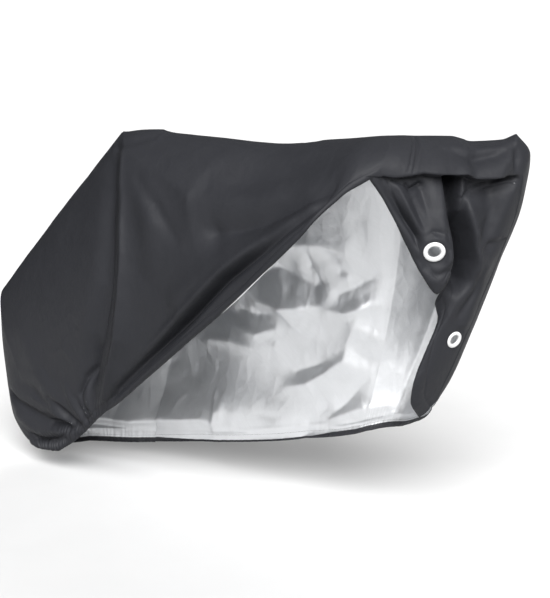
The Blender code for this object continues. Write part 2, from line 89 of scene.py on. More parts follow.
@dataclass(frozen=True)
class Station:
    """One thread line across the cloth, from the near hem over the ridge line to the far hem.

    A swell (forward, outward) is how far the cloth stands out between ridge and hem. The front's
    fold, or the nose's seam, lies at a share of the way down to the near hem, and below it the
    cloth turns in by the tuck.
    """

    name: str
    ridge: tuple
    near: tuple
    near_swell: tuple
    far: tuple
    far_swell: tuple
    fold: float
    tuck: float


@dataclass(frozen=True)
class Fold:
    """A fold along a path of (run, z) places, with its rise at both ends, or at every place."""

    name: str
    path: tuple
    width: float
    rise: tuple
    form: Form = Form.SOFT


@dataclass(frozen=True)
class Panel:
    """A piece of cloth: the stations and rows that it runs between, and the size it is cut to."""

    name: str
    node: str
    start: str
    end: str
    low: str
    high: str
    flat: tuple
    area: float
    beside: tuple


@dataclass(frozen=True)
class Eyelet:
    """A ring on the front: its place and diameter, the flat cloth around it, and its droop."""

    name: str
    node: str
    panel: str
    run: float
    z: float
    diameter: float
    flat: float
    droop: float


def metres(value: object) -> object:
    """A table's number, or every number in a tuple, brought from thousandths to whole units."""
    if isinstance(value, tuple):
        return tuple(metres(part) for part in value)
    return value / 1000 if isinstance(value, (int, float)) else value


STATIONS = tuple(Station(*metres(row)) for row in (
    ("tail_foot", (-338, 0, 42), (-330, -36, 60), (0, 10), (-325, 50, 36), (0, 10), 220, 0),
    ("tail_heel", (-402, 0, 92), (-303, -46, 54), (0, 25), (-318, 75, 32), (0, 25), 220, 0),
    ("tail_low", (-446, 0, 158), (-280, -48, 55), (0, 35), (-310, 90, 30), (0, 35), 220, 0),
    ("tail_back", (-465, 0, 335), (-245, -50, 59), (0, 50), (-295, 105, 32), (0, 50), 220, 0),
    ("shoulder", (-471, 0, 500), (-205, -55, 65), (5, 60), (-262, 120, 40), (0, 60), 220, 0),
    ("rear_slope", (-222, 0, 752), (-130, -66, 112), (50, 85), (-166, 150, 50), (30, 80), 220, 0),
    ("apex", (20, 0, 985), (24, -91, 235), (121, 110), (-52, 190, 66), (50, 100), 220, 0),
    ("top_back", (150, 0, 995), (80, -98, 270), (110, 110), (105, 200, 97), (20, 100), 220, 0),
    ("top_rear", (345, 10, 990), (220, -120, 375), (60, 110), (250, 200, 125), (10, 80), 220, 0),
    ("dip", (510, 30, 984), (387, -150, 500), (40, 105), (380, 200, 152), (0, 80), 220, 0),
    ("rise", (660, 45, 1003), (535, -165, 615), (30, 95), (500, 200, 180), (0, 80), 240, 0),
    ("top_front", (740, 50, 1012), (650, -175, 713), (20, 85), (570, 202, 197), (0, 85), 280, 0),
    ("hem_high", (785, 55, 1017), (748, -165, 808), (20, 70), (610, 206, 208), (0, 90), 340, 0),
    ("hem_top", (805, 60, 1019), (812, -120, 886), (20, 50), (640, 210, 217), (0, 95), 500, 0),
    ("fold_start", (820, 66, 1020), (857, -50, 932), (40, 32), (660, 215, 225), (0, 100), 886, 2),
    ("flap_start", (838, 90, 1020), (868, -16, 885), (55, 42), (670, 218, 229), (0, 100), 607, 22),
    ("front_seam", (863, 123, 1018), (904, 30, 775), (66, 50), (683, 222, 233), (0, 100), 296, 34),
    ("flap_mid", (893, 163, 1017), (937, 49, 705), (70, 54), (700, 229, 239), (0, 100), 247, 36),
    ("flap_tip", (915, 191, 1016), (964, 80, 656), (70, 54), (714, 234, 243), (0, 100), 220, 34),
    ("flap_edge", (930, 211, 1010), (975, 97, 680), (70, 54), (722, 237, 245), (0, 100), 220, 34),
    ("cleft", (948, 234, 1003), (918, 146, 607), (80, 61), (731, 239, 247), (0, 95), 195, 50),
    ("front_top", (1000, 284, 1006), (918, 155, 582), (72, 55), (748, 240, 251), (0, 85), 192, 44),
    ("peak", (1028, 307, 1019), (920, 150, 563), (50, 38), (760, 238, 254), (0, 70), 200, 22),
    ("front_corner", (1051, 335, 972), (915, 136, 533), (36, 27), (772, 234, 258), (0, 55), 130, 4),
    ("nose_high", (1035, 341, 869), (909, 118, 500), (28, 21), (785, 228, 264), (0, 45), 130, 0),
    ("nose_mid", (1005, 320, 758), (905, 111, 478), (22, 17), (800, 221, 271), (0, 35), 140, 0),
    ("nose_low", (976, 287, 636), (899, 104, 454), (18, 14), (815, 213, 279), (0, 30), 160, 0),
    ("nose_end", (943, 256, 510), (893, 98, 422), (14, 10), (830, 206, 287), (0, 22), 200, 0),
    ("toe_top", (922, 240, 438), (880, 108, 372), (10, 8), (842, 200, 293), (0, 16), 240, 0),
    ("toe", (898, 205, 366), (868, 160, 318), (6, 5), (860, 190, 305), (0, 10), 280, 0),
))
CORNERS = ("shoulder", "apex", "fold_start", "peak")  # where the ridge line turns sharply

FOLDS = {
    Zone.NEAR: (
        ("ridge_fold", ((100, 940), (148, 824), (157, 757), (166, 696), (166, 652), (158, 577),
         (135, 469), (92, 381), (40, 280), (-10, 215)), 32, (6, 14, 18, 21, 23, 26, 28, 27, 20, 10),
         Form.CRISP),
        ("rear_trough", ((57, 920), (86, 823), (92, 719), (80, 589), (38, 464), (6, 380),
         (-22, 300)), 34, (-6, -12, -18, -24, -28, -24, -14)),
        ("light_cone", ((130, 930), (215, 850), (255, 780), (270, 690)), 45, (4, 13, 16, 6)),
        ("broad_trough", ((417, 900), (517, 913), (627, 938), (734, 969)), 40, (-10, -20, -20, -8)),
        ("hem_valley", ((400, 750), (462, 781), (534, 798), (601, 820), (708, 873), (791, 918),
         (841, 937)), 44, (-6, -18, -22, -24, -24, -18, -8)),
        ("hem_roll", ((360, 600), (500, 710), (620, 790), (740, 870)), 34, (8, 12)),
        ("gather_high", ((-150, 153), (-215, 152), (-265, 160), (-347, 176), (-405, 195)), 14, (-10,
         -14, -12, -14, -16)),
        ("gather_mid", ((-196, 230), (-160, 211), (-140, 192), (-109, 174), (-81, 168)), 12, (-6,
         -14, -19, -15, -8)),
        ("gather_low", ((-313, 88), (-278, 82), (-209, 95), (-159, 115)), 11, (-10, -18, -14, -6)),
        ("tail_fold", ((-310, 400), (-250, 300), (-170, 220)), 40, (4, 12)),
        ("ridge_line", ((100, 940), (148, 824), (157, 757), (166, 696), (166, 652), (158, 577),
         (135, 469), (92, 381), (40, 280)), 6, (1, 2, 3, 3.5, 3.5, 3, 3, 3, 2), Form.CRISP),
        ("trough_line", ((105, 719), (94, 589), (55, 464), (20, 380)), 14, (-1, -4, -8, -6),
         Form.PLEAT),
        ("pocket", ((18, 430), (13, 401), (-3, 339), (-24, 310)), 12, (-4, -14, -18, -8)),
        ("knot", ((40, 943), (106, 958), (177, 983)), 12, (-5, -4), Form.PLEAT),
        ("knot_roll", ((80, 975), (170, 992)), 12, (3, 5), Form.CRISP),
        ("cone_dark", ((190, 881), (265, 823), (345, 748)), 16, (-3, -8, -3)),
        ("cone_edge", ((129, 934), (272, 894), (361, 861), (388, 785)), 24, (3, 7, 8, 2),
         Form.CRISP),
        ("notch", ((425, 800), (455, 780), (490, 730)), 22, (-1, -8, -1)),
        ("valley_floor", ((462, 781), (534, 796), (601, 817), (708, 873), (791, 918)), 14, (-3, -8,
         -9, -8, -3), Form.CRISP),
        ("band_shadow", ((-3, 224), (57, 272), (100, 317), (174, 378), (225, 420), (277, 462),
         (328, 504), (390, 556), (446, 608), (510, 668), (598, 736), (670, 790), (740, 846),
         (798, 892)), 12, (-6, -12, -16, -18, -22, -28, -32, -36, -38, -36, -28, -18, -12, -6)),
        ("band_overhang", ((190, 405), (300, 505), (420, 610), (520, 700), (620, 775)), 16, (3, 9,
         12, 10, 4)),
        ("gather_a", ((-218, 148), (-165, 157), (-125, 152)), 8, (-6, -12, -8)),
        ("gather_b", ((-258, 118), (-200, 126), (-145, 136)), 12, (6, 9, 6), Form.CRISP),
        ("gather_c", ((-370, 140), (-310, 120), (-240, 100)), 16, (4, 7, 4)),
        ("gather_d", ((-280, 215), (-190, 190), (-120, 163)), 12, (4, 9, 6), Form.CRISP),
        ("gather_e", ((-12, 345), (-36, 321), (-66, 267), (-58, 231), (-30, 212)), 8, (-6, -12, -11,
         -9, -6)),
        ("gather_f", ((-38, 300), (-38, 260), (-22, 222)), 10, (4, 9, 6), Form.CRISP),
        ("gather_g", ((-125, 285), (-100, 230), (-72, 185)), 12, (3, 9, 6), Form.CRISP),
        ("gather_h", ((-85, 255), (-74, 220), (-52, 188)), 7, (-3, -10, -6)),
        ("gather_i", ((-240, 175), (-170, 170), (-105, 157)), 6, (-2, -5, -4)),
        ("gather_j", ((-290, 62), (-230, 74), (-170, 98)), 10, (4, 8, 4), Form.CRISP),
        ("tail_crumple_a", ((-270, 300), (-215, 315), (-180, 290)), 14, (-3, -5, -2), Form.CRISP),
        ("tail_crumple_b", ((-150, 370), (-115, 390), (-80, 365)), 12, (2, 4, 2), Form.CRISP),
        ("tail_crumple_c", ((-330, 250), (-270, 235), (-215, 205)), 18, (-3, -7, -5)),
    ),
    Zone.BAND: (
        ("band_crease", ((364, 991), (315, 979), (264, 972), (209, 990)), 13, (-2, -12, -13, -4),
         Form.STEP),
        ("band_crease_high", ((250, 1003), (294, 999), (341, 1001)), 8, (-2, -5, -2), Form.PLEAT),
        ("band_edge", ((374, 992), (376, 965), (372, 942)), 10, (-4, -11, -5)),
        ("band_rim", ((361, 985), (361, 965), (357, 942)), 7, (2, 4, 2), Form.CRISP),
        ("band_sag", ((20, 985), (100, 980), (180, 985)), 26, (-2, -4, -2)),
        ("band_pucker_a", ((133, 1012), (115, 981), (101, 950)), 6, (-3, -3.5, -2), Form.PLEAT),
        ("band_pucker_b", ((118, 1007), (102, 980), (89, 950)), 5, (-2, -3, -1.5), Form.PLEAT),
    ),
    Zone.FRONT: (
        ("cleft", ((206, 930), (214, 842), (228, 790), (240, 720), (240, 680)), 26, (-50, -60, -70,
         -72, -60)),
        ("flap_side", ((182, 925), (178, 878), (177, 822), (186, 740)), 14, (10, 12, 12, 10),
         Form.CRISP),
        ("flap_valley", ((131, 900), (139, 859), (142, 825)), 18, (-16, -12, -4), Form.CRISP),
        ("nose_light", ((246, 885), (262, 841), (279, 782), (290, 700)), 18, (8, 14, 14, 10),
         Form.CRISP),
        ("nose_dark", ((312, 882), (314, 831), (300, 775)), 26, (-14, -10)),
        ("nose_long", ((315, 700), (300, 640), (270, 560)), 18, (4, 7)),
        ("flap_rim", ((18, 930), (36, 887), (69, 826), (104, 783)), 9, (2, 7, 7, 3), Form.CRISP),
        ("flap_long", ((26, 925), (56, 884), (88, 836), (112, 800), (122, 772)), 9, (-6, -16, -20,
         -18, -6)),
        ("flap_facet", ((60, 925), (76, 900), (90, 868), (108, 829), (120, 803)), 10, (8, 13, 14,
         12, 6), Form.CRISP),
        ("flap_notch", ((90, 915), (99, 903), (128, 916)), 7, (-10, -13, -10)),
        ("flap_notch_left", ((58, 928), (75, 920)), 6, (-8, -6)),
        ("flap_dark", ((104, 880), (118, 845), (130, 815)), 8, (-4, -6, -3)),
        ("flap_crumple_a", ((134, 794), (150, 806), (168, 804)), 6, (-3, -6, -4)),
        ("flap_crumple_b", ((140, 808), (158, 793)), 6, (3, 4), Form.CRISP),
        ("flap_crumple_c", ((184, 806), (190, 770)), 6, (-6, -6)),
        ("tip_fold_a", ((135, 720), (165, 704), (190, 716)), 8, (-4, -6, -4)),
        ("tip_fold_b", ((150, 690), (168, 694), (188, 686)), 7, (3, 6, 3), Form.CRISP),
        ("tip_fold_c", ((118, 745), (136, 722)), 6, (-4, -5)),
        ("cleft_line", ((204, 935), (208, 880), (218, 820), (234, 760), (242, 700), (240, 650)), 12,
         (-30, -34, -34, -30, -20, -6)),
        ("flap_brim", ((184, 930), (186, 850), (196, 780), (198, 710)), 8, (6, 8, 10, 6)),
        ("nose_brim", ((244, 890), (250, 850), (268, 790), (284, 730)), 10, (1, 10, 10, 6),
         Form.CRISP),
        ("nose_crease", ((348, 768), (313, 763), (292, 744)), 12, (-6, -10, -3), Form.STEP),
        ("nose_top_a", ((292, 913), (271, 905), (240, 885)), 7, (-5, -6), Form.STEP),
        ("nose_top_b", ((361, 906), (334, 900), (267, 885)), 8, (-8, -8, -3), Form.STEP),
        ("nose_pocket", ((325, 915), (362, 925)), 12, (-12, -18)),
        ("nose_low_a", ((300, 700), (285, 640), (250, 590)), 10, (-4, -6, -3)),
    ),
    Zone.FAR: (
        ("far_left", ((-100, 120), (50, 150), (220, 200), (360, 215)), 80, (-18, -36, -44, -24)),
        ("far_top_ridge", ((440, 705), (520, 715), (620, 700)), 30, (-8, -14, -8), Form.CRISP),
        ("far_high_valley", ((300, 600), (406, 634), (465, 616), (514, 596), (548, 612)), 30, (8,
         20, 22, 16, 6), Form.CRISP),
        ("far_high_ridge", ((300, 580), (342, 541), (413, 533), (472, 540), (535, 550)), 36, (-8,
         -18, -26, -26, -12), Form.CRISP),
        ("far_dark_valley", ((590, 585), (640, 610), (690, 640)), 24, (10, 14, 8), Form.CRISP),
        ("far_dark_ridge", ((560, 540), (620, 545), (685, 575)), 26, (-10, -18, -12), Form.CRISP),
        ("far_main_crease", ((654, 555), (641, 510), (618, 458), (606, 409), (554, 372), (494, 332),
         (430, 312)), 30, (-6, -12, -16, -18, -22, -24, -10), Form.CRISP),
        ("far_wedge", ((560, 402), (505, 378), (450, 356)), 20, (3, 14, 10), Form.CRISP),
        ("far_sweep_valley", ((700, 410), (655, 352), (603, 290), (550, 235), (440, 150)), 28, (1,
         8, 15, 14, 6), Form.CRISP),
        ("far_ellipse_high", ((265, 502), (330, 497), (385, 512)), 16, (6, 12, 6), Form.CRISP),
        ("far_ellipse_low", ((265, 455), (330, 446), (392, 466)), 20, (-8, -16, -8), Form.CRISP),
        ("far_fan_a", ((80, 670), (200, 610), (310, 565)), 22, (-10, -14, -8), Form.CRISP),
        ("far_fan_b", ((100, 550), (200, 500), (290, 470)), 20, (8, 14, 6), Form.CRISP),
        ("far_fan_c", ((140, 400), (230, 410), (330, 395)), 20, (-8, -14, -6), Form.CRISP),
        ("far_fan_d", ((395, 640), (420, 590), (430, 545)), 12, (-3, -8, -3), Form.CRISP),
        ("far_fan_e", ((415, 530), (450, 490), (520, 470)), 14, (-6, -10, -3), Form.CRISP),
        ("far_facet_a", ((650, 505), (682, 487), (708, 474)), 18, (-4, -7, -3), Form.CRISP),
        ("far_facet_b", ((655, 430), (692, 412), (718, 420)), 16, (3, 5, 2), Form.CRISP),
        ("far_facet_c", ((690, 620), (684, 550), (672, 490)), 16, (2, 5, 3), Form.CRISP),
        ("far_top_a", ((505, 690), (512, 655), (530, 615)), 10, (3, 8, 4), Form.CRISP),
        ("far_top_b", ((560, 695), (600, 650), (650, 640)), 18, (4, 10, 6), Form.CRISP),
        ("far_grey_line", ((720, 302), (644, 283), (575, 252), (505, 200)), 14, (-6, -10, -10, -4),
         Form.CRISP),
        ("far_grey_line_low", ((720, 262), (640, 240), (560, 210)), 12, (4, 7, 3), Form.CRISP),
        ("far_low_a", ((-256, 110), (-131, 115), (144, 170), (300, 165)), 16, (-6, -10, -10, -4),
         Form.CRISP),
        ("far_low_b", ((-300, 85), (-132, 100), (100, 140)), 12, (6, 7, 3), Form.CRISP),
        ("far_slope_a", ((50, 620), (160, 740), (300, 860)), 30, (-8, -6)),
        ("far_slope_b", ((300, 740), (420, 800), (600, 880)), 26, (8, 6)),
    ),
}


@dataclass
class RandomFolds:
    """Small folds strewn over one zone, the same each run."""

    zone: Zone
    count: int
    low: tuple
    high: tuple
    length: float
    width: float
    rise: float
    seed: int
    lengths: tuple = (0.3, 1.0)  # the ranges of shares that are drawn
    bends: tuple = (-0.3, 0.3)
    widths: tuple = (0.6, 1.4)
    start: float = 0.4  # of the rise, at a path's first end

    def folds(self) -> list:
        """The folds, as short bent paths at random angles."""
        random = np.random.default_rng(self.seed)
        made = []
        for k in range(self.count):
            middle = random.uniform(self.low, self.high)
            angle = random.uniform(0, math.pi)
            half = self.length * random.uniform(*self.lengths) / 2
            step = np.array((math.cos(angle), math.sin(angle))) * half
            bend = np.array((-step[1], step[0])) * random.uniform(*self.bends)
            rise = self.rise * random.uniform(-1.0, 1.0)
            path = (tuple(middle - step), tuple(middle + bend), tuple(middle + step))
            form = Form.CRISP if k % 3 else Form.SOFT
            width = self.width * random.uniform(*self.widths)
            rises = (rise * self.start, rise)
            made.append(Fold(f"{self.zone.name}_{k}", path, width, rises, form))
        return made


STREWN = (
    RandomFolds(Zone.NEAR, 26, (-0.40, 0.10), (0.10, 0.50), 0.10, 0.012, 0.0016, 3),
    RandomFolds(Zone.NEAR, 16, (0.10, 0.45), (0.80, 0.98), 0.14, 0.018, 0.0014, 5),
    RandomFolds(Zone.FRONT, 40, (0.02, 0.55), (0.36, 0.92), 0.060, 0.008, 0.0022, 7),
    RandomFolds(Zone.FAR, 24, (0.10, 0.16), (0.66, 0.66), 0.16, 0.028, 0.0085, 17),
    RandomFolds(Zone.FAR, 60, (-0.30, 0.12), (0.68, 0.72), 0.12, 0.011, 0.0045, 11),
    RandomFolds(Zone.FAR, 30, (-0.30, 0.40), (0.90, 0.98), 0.20, 0.020, 0.0050, 13),
)


def smooth(value: np.ndarray) -> np.ndarray:
    """0 below 0, 1 above 1, and an even curve between."""
    value = np.clip(value, 0, 1)
    return value * value * (3 - 2 * value)


def unit(vectors: np.ndarray) -> np.ndarray:
    """Vectors brought to a length of one."""
    return vectors / np.linalg.norm(vectors, axis=-1, keepdims=True)


def put(name: str, data: bpy.types.ID) -> bpy.types.Object:
    """Puts a mesh, lamp or camera into the scene as an object."""
    made = bpy.data.objects.new(name, data)
    bpy.context.scene.collection.objects.link(made)
    return made


def grid_normals(points: np.ndarray) -> np.ndarray:
    """Outward unit normals of a grid of points: the even mean of the cells around each point."""
    cells = unit(np.cross(points[1:, 1:] - points[:-1, :-1], points[:-1, 1:] - points[1:, :-1]))
    cells = np.pad(cells, ((1, 1), (1, 1), (0, 0)), mode="edge")
    return unit(cells[1:, 1:] + cells[:-1, 1:] + cells[1:, :-1] + cells[:-1, :-1])


def ways(points: np.ndarray, axis: int) -> np.ndarray:
    """Each point's way along a grid from its first column (axis 0) or row (axis 1), in metres."""
    steps = np.linalg.norm(np.diff(points, axis=axis), axis=2)
    return np.cumsum(np.pad(steps, ((1 - axis, 0), (axis, 0))), axis=axis)


def value_noise(places: np.ndarray, scale: float, seed: int) -> np.ndarray:
    """Smooth noise from -1 to 1, the same each run.

    Args:
        places: Points to read it at, with the coordinates last.
        scale: Size of its waves, in metres.
        seed: Chooses the pattern.

    Returns:
        One number for each point.
    """
    spot = places / scale + seed * NOISE_SHIFT
    cell = np.floor(spot)
    share = smooth(spot - cell)
    total = np.zeros(places.shape[:-1])
    for corner in np.ndindex(2, 2, 2):
        value = np.sin((cell + corner) @ NOISE_KEYS) * NOISE_SPREAD
        value -= np.floor(value)
        weight = np.prod(np.where(np.array(corner) == 1, share, 1 - share), axis=-1)
        total += weight * value
    return 2 * total - 1


def fold_rise(run: np.ndarray, z: np.ndarray, fold: Fold) -> np.ndarray:
    """How far one fold moves the cloth.

    Args:
        run: The places' run, in the fold's zone.
        z: The places' height.
        fold: The fold.

    Returns:
        The move along the cloth's normal at each place, in metres.
    """
    path = np.array(fold.path)
    lengths = np.linalg.norm(np.diff(path, axis=0), axis=1)
    starts = np.concatenate([[0], np.cumsum(lengths)])
    nearest = np.full(run.shape, np.inf)
    share = np.zeros(run.shape)
    side = np.ones(run.shape)
    for k, length in enumerate(lengths):
        step = (path[k + 1] - path[k]) / length
        east, north = run - path[k, 0], z - path[k, 1]
        reach = np.clip(east * step[0] + north * step[1], 0, length)
        gap = np.hypot(east - step[0] * reach, north - step[1] * reach)
        closer = gap < nearest
        nearest = np.where(closer, gap, nearest)
        share = np.where(closer, (starts[k] + reach) / starts[-1], share)
        side = np.where(closer, np.sign(step[0] * north - step[1] * east), side)
    marks = starts / starts[-1] if len(fold.rise) > 2 else (0.0, 1.0)
    rise = np.interp(share, marks, fold.rise)
    away = nearest / fold.width
    if fold.form is Form.CRISP:
        blunt = EDGE_ROUND / fold.width
        return rise * np.exp(blunt - np.hypot(away, blunt))
    if fold.form is Form.PLEAT:
        return rise * (1 - PLEAT_ROLLS * away * away) * np.exp(-away * away)
    if fold.form is Form.STEP:
        return rise * np.exp(-away * away * np.where(side > 0, EASY_SIDE, STEEP_SIDE))
    return rise * np.exp(-away * away)


@dataclass
class DrapedSheet:
    """The middle of the whole cloth as a fine grid of points, columns first and rows second."""

    column_step: float = 0.0065
    crown_rows: int = 26  # from the ridge line to the fold
    crown_spread: float = 1.5  # crowds them at the ridge line
    lip_rows: int = 4  # in the lip under the fold
    body_rows: int = 84
    band_rows: int = 10  # in the hem
    hem_band: float = 0.042
    hem_edge: float = 0.0022
    lip_height: float = 0.010
    lip_share: float = 0.15
    band_share: float = 0.45
    far_fold: float = 0.22
    hem_width: float = 0.9  # of the hem band, and the rise, dip and roll of the turned hem
    hem_rise: float = 0.0022
    hem_dip: float = 0.0018
    hem_dip_width: float = 0.0035
    hem_roll: float = 0.0035
    hem_roll_width: float = 0.0022
    gather_pitch: float = 0.026
    gather_drift: tuple = (2.2, 0.019)
    gather_near: float = 0.0032
    gather_far: float = 0.0004
    gather_least: float = 0.0003
    gather_reach: float = 0.050
    waves: tuple = ((0.11, 2, 0.0016), (0.045, 4, 0.0006))  # size, seed and rise
    waves_reach: float = 0.06
    seam_groove: float = 0.0012
    groove_width: float = 0.0025
    felled_width: float = 0.008
    felled_rise: float = 0.0007
    felled_edges: tuple = (0.001, 0.002)
    far_seam: float = 0.3  # of the near side's, fading out by the hem
    far_seam_fade: tuple = (0.03, 0.09)
    clamped_share: float = 0.55  # radius of the cloth that a ring holds, of its diameter

    def __post_init__(self) -> None:
        """Drapes the sheet."""
        self.half = self.crown_rows + self.lip_rows + self.body_rows + self.band_rows
        self.rows = {
            "near_hem": 0,
            "strip_top": self.band_rows + self.body_rows * 4 // 9,
            "fold": self.half - self.crown_rows,
            "ridge": self.half,
            "far_fold": self.half + self.crown_rows,
            "far_hem": 2 * self.half,
        }
        self.near = (np.arange(2 * self.half + 1) <= self.half)[None, :]
        self.names = [station.name for station in STATIONS]
        self._lay_columns()
        self._lay_rows()
        self._add_folds()
        self._measure()
        self._add_seams_and_hems()
        self.normals = grid_normals(self.points)

    def _table(self) -> np.ndarray:
        """The stations as an array: ridge, near hem, far hem, both swells, fold and tuck."""
        return np.array([(*s.ridge, *s.near, *s.far, *s.near_swell, *s.far_swell, s.fold, s.tuck)
                         for s in STATIONS], dtype=float)

    def _lay_columns(self) -> None:
        """Places the columns, with one on each station, and reads the table at each of them."""
        table = self._table()
        lines = [table[:, part] for part in (RIDGE, NEAR_HEM, FAR_HEM)]
        lengths = [np.linalg.norm(np.diff(line, axis=0), axis=1) for line in lines]
        knots = np.concatenate([[0], np.cumsum(np.mean(lengths, axis=0))])
        counts = np.ceil(np.max(lengths, axis=0) / self.column_step).astype(int)
        places, self.first = [], []
        for k, count in enumerate(counts):
            self.first.append(len(places))
            places.extend(np.linspace(knots[k], knots[k + 1], count, endpoint=False))
        self.first.append(len(places))
        places.append(knots[-1])
        self.knots, self.along = knots, np.array(places)
        ends = [0] + [self.names.index(name) for name in CORNERS] + [len(knots) - 1]
        pieces = []
        for start, end in zip(ends, ends[1:]):
            last = end == ends[-1]
            inside = self.along <= knots[end] if last else self.along < knots[end]
            here = self.along[(self.along >= knots[start]) & inside]
            pieces.append(self._through(knots[start:end + 1], table[start:end + 1], here))
        self.table = np.vstack(pieces)
        self._straighten_band()

    def _straighten_band(self) -> None:
        """Lets the front's folded band end at one even height between its stations."""
        top = self.table[:, RIDGE_Z]
        drop = top - self.table[:, NEAR_Z]
        lowest = top - self.table[:, FOLD] * drop
        low, high = (self.names.index(name) for name in ("fold_start", "peak"))
        marks = self.first[low:high + 1]
        columns = np.arange(marks[0], marks[-1])
        even = np.interp(columns, marks, lowest[marks])
        self.table[columns, FOLD] = (top[columns] - even) / drop[columns]

    @staticmethod
    def _through(knots: np.ndarray, values: np.ndarray, at: np.ndarray) -> np.ndarray:
        """A cubic through the table's rows that never swings past them."""
        step = np.diff(knots)[:, None]
        slope = np.diff(values, axis=0) / step
        before, after = slope[:-1], slope[1:]
        same_way = before * after > 0
        mean = np.where(same_way, 2 * before * after / np.where(same_way, before + after, 1.0), 0.0)
        tangent = np.vstack([slope[:1], mean, slope[-1:]])
        i = np.clip(np.searchsorted(knots, at, side="right") - 1, 0, len(knots) - 2)
        f = ((at - knots[i]) / step[i, 0])[:, None]
        start = values[i] * (1 + 2 * f) * (1 - f) ** 2 + tangent[i] * step[i] * f * (1 - f) ** 2
        end = values[i + 1] * f * f * (3 - 2 * f) + tangent[i + 1] * step[i] * f * f * (f - 1)
        return start + end

    def _row_shares(self, fold: float, length: float) -> np.ndarray:
        """Shares of the way from ridge to hem at which the rows lie, from the ridge down."""
        lip = min(self.lip_height / length, self.lip_share * (1 - fold))
        band = min(self.hem_band / length, self.band_share * (1 - fold))
        crown = fold * (np.arange(self.crown_rows + 1) / self.crown_rows) ** self.crown_spread
        turn = np.linspace(fold, fold + lip, self.lip_rows + 1)[1:]
        body = np.linspace(fold + lip, 1 - band, self.body_rows + 1)[1:]
        hem = np.linspace(1 - band, 1 - min(self.hem_edge / length, band / 4), self.band_rows)[1:]
        return np.concatenate([crown, turn, body, hem, [1.0]])

    def _lay_rows(self) -> None:
        """Lays each column's points from the near hem over the ridge line to the far hem."""
        shape = (len(self.along), 2 * self.half + 1)
        self.points = np.zeros((*shape, 3))
        self.under = np.zeros(shape)
        tuck = np.zeros(shape)
        for c, row in enumerate(self.table):
            ridge = row[RIDGE]
            sides = (-1, row[NEAR_HEM], row[NEAR_SWELL]), (1, row[FAR_HEM], row[FAR_SWELL])
            for side, hem, swell in sides:
                length = np.linalg.norm(hem - ridge)
                fold = row[FOLD] if side < 0 else min(row[FOLD], self.far_fold)
                share = self._row_shares(fold, length)[:, None]
                stand = np.array((swell[0], side * swell[1], 0.0))
                rows = self.half + side * np.arange(self.half + 1)
                swelled = SWELL * np.sqrt(share) * (1 - share)
                self.points[c, rows] = ridge + (hem - ridge) * share + stand * swelled
                if side < 0:
                    deep = share[:, 0] - fold
                    turn = smooth(deep / (share[self.crown_rows + self.lip_rows, 0] - fold))
                    tuck[c, rows] = row[TUCK] * turn * (1 - smooth(deep / (1 - fold)))
                    self.under[c, rows] = deep > 1e-6
        self.points -= tuck[:, :, None] * FRONT_OUT

    def growing(self, start: str, end: str) -> np.ndarray:
        """A weight for each column that grows from 0 at one station to 1 at another."""
        low, high = (self.knots[self.names.index(name)] for name in (start, end))
        return smooth((self.along - low) / (high - low))[:, None]

    def _add_folds(self) -> None:
        """Moves the cloth by every fold of the tables, and by the strewn ones."""
        front = self.growing("hem_top", "front_seam")
        reach = {
            Zone.NEAR: self.near * (1 - self.growing("hem_high", "flap_start")),
            Zone.BAND: self.near * (self.under == 0) * front,
            Zone.FRONT: self.under * front,
            Zone.FAR: ~self.near * 1.0,
        }
        self.turned_run = (self.points[:, :, :2] - FRONT_START) @ FRONT_ALONG
        height = self.points[:, :, 2]
        move = {}
        for zone, rows in FOLDS.items():
            run = self.turned_run if zone in (Zone.FRONT, Zone.BAND) else self.points[:, :, 0]
            strewn = [fold for group in STREWN if group.zone is zone for fold in group.folds()]
            folds = [Fold(*metres(row)) for row in rows] + strewn
            move[zone] = sum(fold_rise(run, height, fold) for fold in folds)
        normals = grid_normals(self.points)
        sides = sum(move[zone] * reach[zone] for zone in (Zone.NEAR, Zone.BAND, Zone.FAR))
        out = move[Zone.FRONT] * reach[Zone.FRONT]
        self.points = self.points + normals * sides[:, :, None] + FRONT_OUT * out[:, :, None]

    def _measure(self) -> None:
        """Measures each point's way from both hems and along the cloth, in metres."""
        self.across = ways(self.points, 1)
        middle = self.across[:, self.half:self.half + 1]
        self.from_hem = np.where(self.near, self.across, self.across[:, -1:] - self.across)
        self.from_ridge = np.abs(self.across - middle)

    def _seam_distance(self, name: str) -> np.ndarray:
        """Each point's signed way from the column of a station, in metres."""
        c = self.first[self.names.index(name)]
        way = ways(self.points, 0)
        return way - way[c:c + 1]

